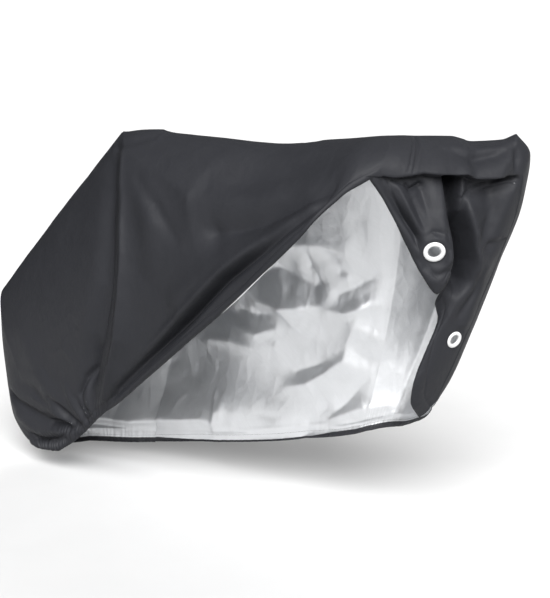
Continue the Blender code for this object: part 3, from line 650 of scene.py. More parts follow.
    def _add_seams_and_hems(self) -> None:
        """Adds the turned hem, its gathers, and a groove and a felled edge along each seam."""
        normals = grid_normals(self.points)
        hem = self.from_hem
        width = self.hem_band * self.hem_width
        move = self.hem_rise * np.sin(np.pi * np.clip(hem / width, 0, 1))
        move = move - self.hem_dip * np.exp(-((hem - width) / self.hem_dip_width) ** 2)
        move -= self.hem_roll * np.exp(-hem / self.hem_roll_width)
        gather = 1 - self.growing("rear_slope", "top_back")
        turns, drift = self.gather_drift
        along = self.along[:, None]
        wave = np.sin(2 * np.pi * along / self.gather_pitch + turns * np.sin(along / drift))
        ruched = np.where(self.near, self.gather_near, self.gather_far) * gather + self.gather_least
        move += ruched * wave * np.exp(-(hem / self.gather_reach) ** 2)
        waves = sum(value_noise(self.points, size, seed) * rise for size, seed, rise in self.waves)
        move += waves * smooth(hem / self.waves_reach)
        start, reach = self.far_seam_fade
        far = self.far_seam * smooth((hem - start) / reach)
        seams = [(self._seam_distance("apex"), np.where(self.near, 1.0, far))]
        nose = self.growing("front_top", "peak") * (1 - self.growing("toe_top", "toe"))
        for row, side in (("fold", 1), ("far_fold", -1)):
            way = side * (self.across - self.across[:, self.rows[row]:self.rows[row] + 1])
            seams.append((way, nose * (self.near if side > 0 else ~self.near)))
        low_edge, high_edge = self.felled_edges
        for way, strength in seams:
            groove = -self.seam_groove * np.exp(-(way / self.groove_width) ** 2)
            over = 1 - smooth((way - self.felled_width) / high_edge)
            raised = self.felled_rise * smooth(way / low_edge) * over
            move += (groove + raised) * strength
        ridge = self.growing("shoulder", "apex") * (1 - self.growing("front_top", "nose_high"))
        groove = self.seam_groove * np.exp(-(self.from_ridge / self.groove_width) ** 2)
        move -= groove * ridge
        self.points = self.points + normals * move[:, :, None]

    def lay_flat(self, eyelet: Eyelet) -> tuple:
        """Lays the cloth flat around a ring.

        Args:
            eyelet: The ring.

        Returns:
            The ring's centre and its outward axis, in the tables' coordinates.
        """
        away = np.hypot(self.turned_run - eyelet.run, self.points[:, :, 2] - eyelet.z)
        away[self.under == 0] = np.inf
        c, r = np.unravel_index(np.argmin(away), away.shape)
        centre = self.points[c, r].copy()
        reach = np.linalg.norm(self.points - centre, axis=2)
        reach[self.under == 0] = np.inf
        spot = reach < eyelet.flat
        axis = unit(self.normals[spot].mean(axis=0) - np.array((0.0, 0.0, eyelet.droop)))
        centre += axis * ((self.points[spot].mean(axis=0) - centre) @ axis)
        clamped = eyelet.diameter * self.clamped_share
        weight = 1 - smooth((reach - clamped) / (eyelet.flat - clamped))
        lift = (self.points - centre) @ axis
        self.points = self.points - axis * (lift * weight)[:, :, None]
        self.normals = grid_normals(self.points)
        return centre, axis

    def column(self, place: str) -> int:
        """The column of a station's name, with an optional +share of the way to the next."""
        if not place:
            return len(self.along) - 1
        name, _, share = place.partition("+")
        k = self.names.index(name)
        c = self.first[k]
        return c + round(float(share) * (self.first[k + 1] - c)) if share else c

    def mask(self, panel: Panel, taken: np.ndarray) -> np.ndarray:
        """The cells of a panel that no earlier one has taken."""
        cells = np.zeros(taken.shape, dtype=bool)
        start = self.column(panel.start) if panel.start else 0
        cells[start:self.column(panel.end), self.rows[panel.low]:self.rows[panel.high]] = True
        return cells & ~taken


@dataclass
class NodeTree:
    """Adds nodes to one tree and joins them."""

    tree: bpy.types.NodeTree

    def add(self, kind: str, inputs: dict | None = None, **settings: object) -> bpy.types.Node:
        """Adds a node.

        Args:
            kind: The node's type.
            inputs: Values, or other nodes' outputs, for its inputs.
            settings: Its options.

        Returns:
            The new node.
        """
        node = self.tree.nodes.new(kind)
        for key, value in settings.items():
            setattr(node, key, value)
        self.fill(node, inputs or {})
        return node

    def fill(self, node: bpy.types.Node, inputs: dict) -> None:
        """Gives a node's inputs their values, or joins them to other nodes' outputs."""
        for key, value in inputs.items():
            if isinstance(value, bpy.types.NodeSocket):
                self.tree.links.new(value, node.inputs[key])
            else:
                node.inputs[key].default_value = value

    def group(self, shared: bpy.types.NodeTree, inputs: dict) -> bpy.types.Node:
        """Adds a shared group."""
        return self.add("ShaderNodeGroup", inputs, node_tree=shared)

    def mix(self, share: object, *colours: object) -> bpy.types.NodeSocket:
        """A mix of two colours, each of them three numbers or a socket."""
        first, second = (colour if isinstance(colour, bpy.types.NodeSocket) else (*colour, 1.0)
                         for colour in colours)
        inputs = {"Factor": share, "A": first, "B": second}
        return self.add("ShaderNodeMix", inputs, data_type="RGBA").outputs["Result"]

    def even_range(self, value: object, reach: tuple, result: tuple) -> bpy.types.NodeSocket:
        """A number's place in one range, carried over to another."""
        low, high = result
        inputs = {"Value": value, "From Min": reach[0], "From Max": reach[1], "To Min": low,
                  "To Max": high}
        return self.add("ShaderNodeMapRange", inputs).outputs[0]

    def math(self, operation: str, first: object, second: object = 0.0) -> bpy.types.NodeSocket:
        """A sum of two numbers or sockets."""
        return self.add("ShaderNodeMath", {0: first, 1: second}, operation=operation).outputs[0]

    def stretched(self, place: bpy.types.NodeSocket, size: tuple) -> bpy.types.NodeSocket:
        """A place with each of its coordinates multiplied."""
        node = self.add("ShaderNodeVectorMath", {0: place, 1: size}, operation="MULTIPLY")
        return node.outputs[0]

    def ends(self, inputs: dict, outputs: tuple) -> tuple:
        """Gives a group its named inputs, with their values, and its named outputs.

        Args:
            inputs: Names and values. A value of None makes a vector input.
            outputs: Names of number outputs.

        Returns:
            The group's input node and its output node.
        """
        for name, value in inputs.items():
            kind = "NodeSocketVector" if value is None else "NodeSocketFloat"
            socket = self.tree.interface.new_socket(name, in_out="INPUT", socket_type=kind)
            if value is not None:
                socket.default_value = value
        for name in outputs:
            self.tree.interface.new_socket(name, in_out="OUTPUT", socket_type="NodeSocketFloat")
        return self.add("NodeGroupInput"), self.add("NodeGroupOutput")


class Patterns:
    """The node groups that several finishes use, each built once."""

    def __init__(self) -> None:
        """Builds the groups."""
        self.weave = self._weave()
        self.crumple = self._crumple()
        self.wear = self._wear()

    @staticmethod
    def _weave() -> bpy.types.NodeTree:
        """A plain weave: round threads that pass over and under each other, of uneven thickness."""
        group = NodeTree(bpy.data.node_groups.new("weave", "ShaderNodeTree"))
        start, end = group.ends({"Place": None, "Threads": 1300.0}, ("Height", "Slub"))
        place, threads = start.outputs["Place"], start.outputs["Threads"]
        scaled = group.add("ShaderNodeVectorMath", {0: place, "Scale": threads}, operation="SCALE")
        parts = group.add("ShaderNodeSeparateXYZ", {0: scaled.outputs[0]}).outputs
        waves = [group.math("SINE", group.math("MULTIPLY", parts[k], math.pi)) for k in (0, 1)]
        over = group.math("GREATER_THAN", group.math("MULTIPLY", *waves), 0.0)
        warp, weft = (group.math("ABSOLUTE", wave) for wave in waves)
        difference = group.math("SUBTRACT", warp, weft)
        height = group.math("ADD", weft, group.math("MULTIPLY", difference, over))
        drawn = group.stretched(place, (900.0, 40.0, 1.0))
        slub = group.add("ShaderNodeTexNoise", {"Vector": drawn, "Scale": 1.0, "Detail": 1.0})
        group.fill(end, {"Height": height, "Slub": slub.outputs[0]})
        return group.tree

    @staticmethod
    def _crumple() -> bpy.types.NodeTree:
        """Small soft wrinkles with thin ridges, as packed cloth has."""
        group = NodeTree(bpy.data.node_groups.new("crumple", "ShaderNodeTree"))
        start, end = group.ends({"Place": None, "Size": 0.05, "Ridges": 0.5}, ("Height", "Shade"))
        place = start.outputs["Place"]
        scale = group.math("DIVIDE", 1.0, start.outputs["Size"])
        soft = group.add("ShaderNodeTexNoise", {"Vector": place, "Scale": scale, "Detail": 3.0,
                                                "Distortion": 0.4}).outputs[0]
        finer = group.math("MULTIPLY", scale, 1.7)
        warped = group.stretched(place, (1.0, 1.0, 0.6))
        ridged = group.add("ShaderNodeTexVoronoi", {"Vector": warped, "Scale": finer},
                           feature="DISTANCE_TO_EDGE")
        edge = group.math("MINIMUM", ridged.outputs["Distance"], 0.25)
        ridges = group.math("MULTIPLY", edge, group.math("MULTIPLY", start.outputs["Ridges"], -2.0))
        group.fill(end, {"Height": group.math("ADD", soft, ridges), "Shade": soft})
        return group.tree

    @staticmethod
    def _wear() -> bpy.types.NodeTree:
        """A broken mask that grows towards an edge, from the way to that edge in metres."""
        group = NodeTree(bpy.data.node_groups.new("wear", "ShaderNodeTree"))
        start, end = group.ends({"Place": None, "Way": 0.0, "Width": 0.004}, ("Mask",))
        near = group.math("DIVIDE", start.outputs["Way"], start.outputs["Width"])
        edge = group.math("SUBTRACT", 1.0, group.math("MINIMUM", near, 1.0))
        patches = group.add("ShaderNodeTexNoise", {"Vector": start.outputs["Place"], "Scale": 45.0,
                                                   "Detail": 4.0})
        group.fill(end, {"Mask": group.math("MULTIPLY", edge, patches.outputs[0])})
        return group.tree


def blank(name: str) -> tuple:
    """A new material with its shader and its tree."""
    made = bpy.data.materials.new(name)
    made.use_nodes = True
    return made, made.node_tree.nodes["Principled BSDF"], NodeTree(made.node_tree)


@dataclass(frozen=True)
class ClothFinish:
    """One face of the woven cloth. With a border, it is bare of its coating along the hem."""

    name: str
    colour: tuple
    light: tuple
    metallic: float
    roughness: tuple
    threads: float
    thread_depth: float
    crumple_size: float
    crumple_depth: float
    ridges: float
    gloss: float
    border: tuple = ()
    shades: tuple = (0.3, 0.7)

    def material(self, patterns: Patterns) -> bpy.types.Material:
        """The finish as a material.

        Args:
            patterns: The shared node groups.

        Returns:
            The new material.
        """
        made, shader, tree = blank(self.name)
        place = tree.add("ShaderNodeTexCoord").outputs["Object"]
        threads = tree.add("ShaderNodeUVMap", uv_map="threads").outputs[0]
        hem = tree.add("ShaderNodeAttribute", attribute_name="hem").outputs["Fac"]
        weave = tree.group(patterns.weave, {"Place": threads, "Threads": self.threads}).outputs
        crumple = tree.group(patterns.crumple, {"Place": place, "Size": self.crumple_size,
                                                "Ridges": self.ridges}).outputs
        wear = tree.group(patterns.wear, {"Place": place, "Way": hem}).outputs["Mask"]
        high = tree.math("MULTIPLY", weave["Height"], self.thread_depth)
        wrinkles = tree.math("MULTIPLY", crumple["Height"], self.crumple_depth)
        bump = tree.add("ShaderNodeBump", {"Height": tree.math("ADD", high, wrinkles),
                                           "Distance": 1.0})
        shade = tree.math("MULTIPLY", tree.math("ADD", crumple["Shade"], weave["Slub"]), 0.5)
        seen = tree.mix(tree.math("ADD", shade, wear), self.colour, self.light)
        metallic = self.metallic
        if self.border:
            way = tree.add("ShaderNodeAttribute", attribute_name="coating").outputs["Fac"]
            coated = tree.math("GREATER_THAN", way, 0.0)
            seen = tree.mix(coated, self.border, seen)
            metallic = tree.math("MULTIPLY", coated, metallic)
        tree.fill(shader, {
            "Base Color": seen, "Metallic": metallic, "Normal": bump.outputs[0],
            "Roughness": tree.even_range(shade, self.shades, self.roughness),
            "Specular IOR Level": self.gloss})
        return made


@dataclass(frozen=True)
class SolidFinish:
    """A moulded, spun or painted finish with a fine grain."""

    name: str
    colour: tuple
    light: tuple
    roughness: float
    grain_size: float
    grain_depth: float
    gloss: float = 0.0
    bounce: float = 1.0

    def material(self, patterns: Patterns) -> bpy.types.Material:
        """The finish as a material.

        Args:
            patterns: The shared node groups.

        Returns:
            The new material.
        """
        made, shader, tree = blank(self.name)
        place = tree.add("ShaderNodeTexCoord").outputs["Object"]
        grain = tree.group(patterns.crumple, {"Place": place, "Size": self.grain_size}).outputs
        high = tree.math("MULTIPLY", grain["Height"], self.grain_depth)
        bump = tree.add("ShaderNodeBump", {"Height": high, "Distance": 1.0})
        seen = tree.mix(grain["Shade"], self.colour, self.light)
        if self.bounce < 1:
            soft = tree.add("ShaderNodeLightPath").outputs["Is Diffuse Ray"]
            seen = tree.mix(soft, seen, [part * self.bounce for part in self.colour])
        tree.fill(shader, {"Base Color": seen, "Normal": bump.outputs[0],
                           "Roughness": self.roughness, "Coat Weight": self.gloss})
        return made


BLACK_CLOTH = ClothFinish("black_cloth_face", (0.0168, 0.0173, 0.0203), (0.0236, 0.0244, 0.0280),
                          0.0, (0.46, 0.58), 1300.0, 0.00006, 0.045, 0.0012, 0.35, 0.13)
SILVER_BACK = ClothFinish("silver_coated_face", (0.58, 0.59, 0.60), (0.77, 0.78, 0.80), 0.88,
                          (0.36, 0.47), 1300.0, 0.00003, 0.060, 0.0018, 0.45, 0.30,
                          border=(0.017, 0.0175, 0.020))
WHITE_RING = SolidFinish("white_moulded_ring", (0.60, 0.60, 0.60), (0.68, 0.68, 0.68), 0.34, 0.004,
                         0.00003, gloss=0.25)
BLACK_THREAD = SolidFinish("black_thread", (0.008, 0.008, 0.010), (0.020, 0.020, 0.023), 0.80,
                           0.0009, 0.00010)
PALE_FLOOR = SolidFinish("pale_floor", (0.60, 0.60, 0.60), (0.63, 0.63, 0.63), 0.90, 0.20, 0.0002,
                         bounce=0.40)
DARK_BOARD = SolidFinish("dark_board", (0.010, 0.010, 0.010), (0.014, 0.014, 0.014), 0.95, 0.05,
                         0.0001)


@dataclass
class Line:
    """A line on the cloth that stitches follow: along a row, or along a column."""

    start: str
    end: str
    rows: tuple
    inside: bool = False


PANELS = (
    Panel("tail_cloth", "tail_panel", "", "apex", "near_hem", "far_hem", (1.40, 1.05), 0.83,
          ("near_side_cloth", "far_side_cloth")),
    Panel("gusset_cloth", "nose_gusset", "peak", "", "fold", "far_fold", (0.16, 0.72), 0.057,
          ("front_cloth", "far_side_cloth")),
    Panel("flap_strip_cloth", "near_eyelet_strip", "front_seam", "cleft", "near_hem", "strip_top",
          (0.22, 0.20), 0.032, ("front_cloth",)),
    Panel("nose_strip_cloth", "nose_eyelet_strip", "nose_mid", "", "near_hem", "fold",
          (0.22, 0.22), 0.030, ("front_cloth",)),
    Panel("near_side_cloth", "near_side_panel", "apex", "front_seam", "near_hem", "ridge",
          (1.10, 0.95), 0.42, ("tail_cloth", "front_cloth")),
    Panel("front_cloth", "front_panel", "front_seam", "", "near_hem", "ridge", (0.52, 0.58), 0.14,
          ("near_side_cloth", "far_side_cloth")),
    Panel("far_side_cloth", "far_side_panel", "apex", "", "ridge", "far_hem", (1.45, 1.05), 0.89,
          ("tail_cloth", "near_side_cloth")),
)
EYELETS = (
    Eyelet("near_ring", "near_eyelet_ring", "flap_strip_cloth", 0.153, 0.759, 0.052, 0.048, 0.30),
    Eyelet("nose_ring", "nose_eyelet_ring", "nose_strip_cloth", 0.242, 0.525, 0.043, 0.040, 0.0),
)


@dataclass
class ClothCutter:
    """Cuts the panels out of the draped sheet and gives them the cloth's thickness."""

    sheet: DrapedSheet
    cloth: float = 0.0012
    hem: float = 0.0026
    turned_near: float = 0.013
    turned_far: tuple = (("tail_foot", 0.013), ("apex", 0.013), ("top_back", 0.004), ("dip", 0.003),
                         ("rise", 0.005), ("top_front", 0.014), ("toe", 0.017))
    silver_edges: tuple = (("dip+0.7", "top_front+0.3"), ("hem_top+0.1", "fold_start"))
    silver_edge: float = 0.0036  # how far the coating comes round the edge at most
    silver_start: float = -0.001
    silver_taper: float = 0.6
    thick_share: float = 0.8  # of the hem band, before it thins to the single cloth
    thick_fade: float = 0.006
    edge_stand: float = 0.9  # how far the rim's middle stands out, of half the thickness

    def __post_init__(self) -> None:
        """Works out the outer, the inner and the middle layer once for all panels."""
        sheet = self.sheet
        wide, high = sheet.points.shape[:2]
        band = 1 - smooth((sheet.from_hem - sheet.hem_band * self.thick_share) / self.thick_fade)
        half = ((self.cloth + (self.hem - self.cloth) * band) / 2)[:, :, None]
        rim = np.zeros_like(sheet.points)
        rim[:, 0] += unit(sheet.points[:, 0] - sheet.points[:, 1])
        rim[:, -1] += unit(sheet.points[:, -1] - sheet.points[:, -2])
        rim[0] += unit(sheet.points[0] - sheet.points[1])
        rim[-1] += unit(sheet.points[-1] - sheet.points[-2])
        layers = (sheet.normals * half, -sheet.normals * half, rim * half * self.edge_stand)
        placed = [sheet.points + layer - ORIGIN for layer in layers]
        self.layers = np.concatenate([layer.reshape(-1, 3) for layer in placed])
        self.uv = np.stack([ways(sheet.points, 0), sheet.across], axis=2).reshape(-1, 2)
        self.index = np.arange(wide * high).reshape(wide, high)
        self.taken = np.zeros((wide - 1, high - 1), dtype=bool)
        self.holes = []
        self.coating, self.silver_outside = self._coating(wide, high)

    def _coating(self, wide: int, high: int) -> tuple:
        """Where the silver coating shows.

        Args:
            wide: The sheet's columns.
            high: Its rows.

        Returns:
            The way inside the coating's edge, for the outer, inner and middle layer, and the outer
            cells that have some of it.
        """
        sheet = self.sheet
        marks = [sheet.column(name) for name, _ in self.turned_far]
        far = np.interp(np.arange(wide), marks, [width for _, width in self.turned_far])[:, None]
        near = np.arange(high)[None, :] < sheet.half
        turned = np.where(near, self.turned_near, far)
        rolled = np.full(wide, self.silver_start)
        for start, end in self.silver_edges:
            first, last = sheet.column(start), sheet.column(end)
            arc = np.sin(np.linspace(0, np.pi, last + 1 - first))
            rolled[first:last + 1] += self.silver_edge * arc ** self.silver_taper
        outside = np.where(near, rolled[:, None] - sheet.from_hem, -1.0)
        cells = np.zeros((wide - 1, high - 1), dtype=bool)
        cells[:, :2] = (rolled[1:, None] > 0) & (rolled[:-1, None] > 0)
        layers = (outside, sheet.from_hem - turned, outside)
        return np.concatenate([layer.ravel() for layer in layers]), cells

    def cut(self, panel: Panel, finishes: tuple) -> bpy.types.Object:
        """Cuts one panel.

        Args:
            panel: The panel.
            finishes: The outer and the inner face's material.

        Returns:
            The finished piece.
        """
        cells = self.sheet.mask(panel, self.taken)
        self.taken |= cells
        corners = self.index[:-1, :-1], self.index[1:, :-1], self.index[1:, 1:], self.index[:-1, 1:]
        for centre, radius in self.holes:
            away = np.linalg.norm(self.sheet.points - centre, axis=2)
            nearest = np.minimum(np.minimum(away[:-1, :-1], away[1:, :-1]),
                                 np.minimum(away[1:, 1:], away[:-1, 1:]))
            cells &= nearest > radius
        count, high = self.index.size, self.index.shape[1]
        outer = np.stack([corner[cells] for corner in corners], axis=1)
        inner = outer[:, ::-1] + count
        walls = [self._wall(cells, side, corners) for side in range(4)]
        edges = np.concatenate(walls)
        end, start = edges.T
        middle = 2 * count
        rims = np.concatenate([
            np.stack([start, end, end + middle, start + middle], axis=1),
            np.stack([start + middle, end + middle, end + count, start + count], axis=1),
        ])
        faces = np.concatenate([outer, inner, rims])
        finish = np.concatenate([
            self.silver_outside[cells], np.ones(len(inner)), np.zeros(len(rims))]).astype(np.int32)
        hem = np.isin(edges % high, (0, high - 1)).all(axis=1)
        flat = np.concatenate([np.zeros(2 * len(outer), dtype=bool), ~hem, ~hem])
        return self._piece(panel.name, faces, finish, flat, finishes)

    @staticmethod
    def _wall(cells: np.ndarray, side: int, corners: tuple) -> np.ndarray:
        """The panel's edges on one side of its cells, as pairs of grid points."""
        framed = np.pad(cells, 1)
        beside = (framed[1:-1, :-2], framed[2:, 1:-1], framed[1:-1, 2:], framed[:-2, 1:-1])[side]
        open_cells = cells & ~beside
        return np.stack([corners[side][open_cells], corners[(side + 1) % 4][open_cells]], axis=1)

    def _piece(self, name: str, faces: np.ndarray, finish: np.ndarray, flat: np.ndarray,
               finishes: tuple) -> bpy.types.Object:
        """A mesh object from the used grid points and the faces between them.

        Its skins take the whole sheet's normals, so that no piece's edge shows as a line.

        Args:
            name: The piece's name.
            faces: The faces, as four points each.
            finish: Each face's material.
            flat: Which faces are shaded flat.
            finishes: The materials.

        Returns:
            The new piece.
        """
        used, faces = np.unique(faces, return_inverse=True)
        faces = faces.reshape(-1, 4)
        mesh = bpy.data.meshes.new(name)
        mesh.vertices.add(len(used))
        mesh.vertices.foreach_set("co", self.layers[used].ravel())
        mesh.loops.add(faces.size)
        mesh.loops.foreach_set("vertex_index", faces.ravel().astype(np.int32))
        mesh.polygons.add(len(faces))
        mesh.polygons.foreach_set("loop_start", np.arange(0, faces.size, 4, dtype=np.int32))
        mesh.polygons.foreach_set("material_index", finish)
        spot = used % self.index.size
        threads = mesh.uv_layers.new(name="threads")
        threads.data.foreach_set("uv", self.uv[spot][faces.ravel()].ravel())
        for kept, kind, domain, values in (
                ("hem", "FLOAT", "POINT", self.sheet.from_hem.ravel()[spot]),
                ("coating", "FLOAT", "POINT", self.coating[used]),
                ("sharp_face", "BOOLEAN", "FACE", flat)):
            mesh.attributes.new(kept, kind, domain).data.foreach_set("value", values)
        mesh.update(calc_edges=True)
        skins = int(np.argmax(flat))
        normals = self.sheet.normals.reshape(-1, 3)[spot[faces[:skins]]]
        normals[skins // 2:] *= -1
        shaded = np.zeros((faces.size, 3))
        shaded[:skins * 4] = normals.reshape(-1, 3)
        mesh.normals_split_custom_set(shaded)
        for material in finishes:
            mesh.materials.append(material)
        return put(name, mesh)


@dataclass
class MouldedRing:
    """A ring in two halves that clamp the cloth: a rounded flange, a neck and a back flange."""

    eyelet: Eyelet
    hole_share: float = 0.29
    neck: float = 0.0016
    flange: float = 0.0030
    back: float = 0.0018
    back_step: float = 0.004
    cloth: float = 0.0028
    segments: int = 56

    def profile(self) -> list:
        """Half of the ring's section, as (radius, height) places."""
        outer = self.eyelet.diameter / 2
        hole = self.eyelet.diameter * self.hole_share
        seat = self.cloth / 2
        crown = (outer + hole) / 2
        top, low = seat + self.flange, -seat - self.back
        step = outer - self.back_step
        face = [
            (hole, seat * 0.2), (hole + 0.0002, seat + self.flange * 0.45),
            (hole + 0.0009, top - 0.0008), (hole + 0.0020, top - 0.0002), (crown, top),
            (outer - 0.0026, top - 0.0006), (outer - 0.0010, top - 0.0013),
            (outer - 0.0001, seat + 0.0009), (outer, seat - 0.0002),
            (hole + self.neck, seat - 0.0003), (hole + self.neck, -seat + 0.0003),
        ]
        rear = [
            (step, -seat + 0.0002), (step - 0.0004, low + 0.0004), (step - 0.0016, low),
            (hole + 0.0012, low), (hole, low + 0.0008),
        ]
        return face + rear

    def build(self, centre: np.ndarray, axis: np.ndarray,
              material: bpy.types.Material) -> bpy.types.Object:
        """Turns the ring's section round its axis.

        Args:
            centre: The ring's middle, on the cloth.
            axis: The way that its face looks.
            material: Its finish.

        Returns:
            The finished ring.
        """
        mesh = bmesh.new()
        turned = []
        for k in range(self.segments):
            angle = 2 * math.pi * k / self.segments
            x, y = math.cos(angle), math.sin(angle)
            turned.append([mesh.verts.new((r * x, r * y, h)) for r, h in self.profile()])
        count = len(turned[0])
        for k, here in enumerate(turned):
            beyond = turned[(k + 1) % self.segments]
            for i in range(count):
                j = (i + 1) % count
                mesh.faces.new((here[i], here[j], beyond[j], beyond[i])).smooth = True
        bmesh.ops.recalc_face_normals(mesh, faces=mesh.faces)
        turn = Vector(axis).to_track_quat("Z", "Y").to_matrix().to_4x4()
        mesh.transform(Matrix.Translation(Vector(centre - ORIGIN)) @ turn)
        data = bpy.data.meshes.new(self.eyelet.name)
        mesh.to_mesh(data)
        mesh.free()
        data.materials.append(material)
        return put(self.eyelet.name, data)


@dataclass
class Stitching:
    """Rows of stitches along lines on the cloth, made by one Geometry Nodes tree."""

    cutter: ClothCutter
    pitch: float = 0.0046
    length: float = 0.0034
    thread: float = 0.0008
    uneven: float = 0.10
    raised: float = 0.15  # of the thread, above the cloth's face
    seed: int = 4

    def __post_init__(self) -> None:
        """Builds the tree."""
        tree = bpy.data.node_groups.new("stitches", "GeometryNodeTree")
        nodes = NodeTree(tree)
        for name, kind in (("Lines", "Geometry"), ("Pitch", "Float"), ("Length", "Float"),
                           ("Thread", "Float"), ("Uneven", "Float"), ("Finish", "Material")):
            tree.interface.new_socket(name, in_out="INPUT", socket_type="NodeSocket" + kind)
        tree.interface.new_socket("Stitches", in_out="OUTPUT", socket_type="NodeSocketGeometry")
        given = nodes.add("NodeGroupInput").outputs
        curve = nodes.add("GeometryNodeMeshToCurve", {0: given["Lines"]})
        evened = nodes.add("GeometryNodeResampleCurve",
                           {"Curve": curve.outputs[0], "Length": given["Pitch"]}, mode="LENGTH")
        stitch = nodes.add("GeometryNodeMeshUVSphere", {"Segments": 5, "Rings": 4, "Radius": 0.5})
        turn = nodes.add("FunctionNodeAlignRotationToVector",
                         {"Vector": nodes.add("GeometryNodeInputTangent").outputs[0]}, axis="X")
        least = nodes.math("SUBTRACT", 1.0, given["Uneven"])
        most = nodes.math("ADD", 1.0, given["Uneven"])
        jitter = nodes.add("FunctionNodeRandomValue", {2: least, 3: most, "Seed": self.seed},
                           data_type="FLOAT")
        long_side = nodes.math("MULTIPLY", given["Length"], jitter.outputs[1])
        size = nodes.add("ShaderNodeCombineXYZ",
                         {0: long_side, 1: given["Thread"], 2: given["Thread"]})
        placed = nodes.add("GeometryNodeInstanceOnPoints", {
            "Points": evened.outputs[0], "Instance": stitch.outputs["Mesh"],
            "Rotation": turn.outputs[0], "Scale": size.outputs[0]})
        real = nodes.add("GeometryNodeRealizeInstances", {0: placed.outputs[0]})
        round_ = nodes.add("GeometryNodeSetShadeSmooth", {"Geometry": real.outputs[0]})
        dressed = nodes.add("GeometryNodeSetMaterial",
                            {"Geometry": round_.outputs[0], "Material": given["Finish"]})
        nodes.add("NodeGroupOutput", {0: dressed.outputs[0]})
        self.tree = tree

    def _points(self, line: Line) -> np.ndarray:
        """The places of one line, just above the cloth's face."""
        sheet = self.cutter.sheet
        layers = self.cutter.layers.reshape(3, *sheet.points.shape)
        face = layers[1 if line.inside else 0]
        lift = (-1 if line.inside else 1) * self.thread * self.raised
        places = face + sheet.normals * lift
        first, last = sheet.column(line.start), sheet.column(line.end)
        low, high = line.rows
        if low == high:
            return places[first:last + 1, low]
        return places[first, low:high + 1]

    def sew(self, name: str, lines: tuple, material: bpy.types.Material) -> bpy.types.Object:
        """Sews stitches along some lines.

        Args:
            name: The piece's name.
            lines: The lines.
            material: The thread's finish.

        Returns:
            The stitches as one mesh piece.
        """
        places, edges = [], []
        for line in lines:
            points = self._points(line)
            edges += [(len(places) + k, len(places) + k + 1) for k in range(len(points) - 1)]
            places += [tuple(point) for point in points]
        mesh = bpy.data.meshes.new(name + "_lines")
        mesh.from_pydata(places, edges, [])
        path = put(name + "_lines", mesh)
        sewing = path.modifiers.new("stitches", "NODES")
        sewing.node_group = self.tree
        values = {"Pitch": self.pitch, "Length": self.length, "Thread": self.thread,
                  "Uneven": self.uneven, "Finish": material}
        for socket in self.tree.interface.items_tree:
            if socket.in_out == "INPUT" and socket.name in values:
                sewing[socket.identifier] = values[socket.name]
        depsgraph = bpy.context.evaluated_depsgraph_get()
        sewn = bpy.data.meshes.new_from_object(path.evaluated_get(depsgraph), depsgraph=depsgraph)
        bpy.data.objects.remove(path)
        sewn.name = name
        return put(name, sewn)


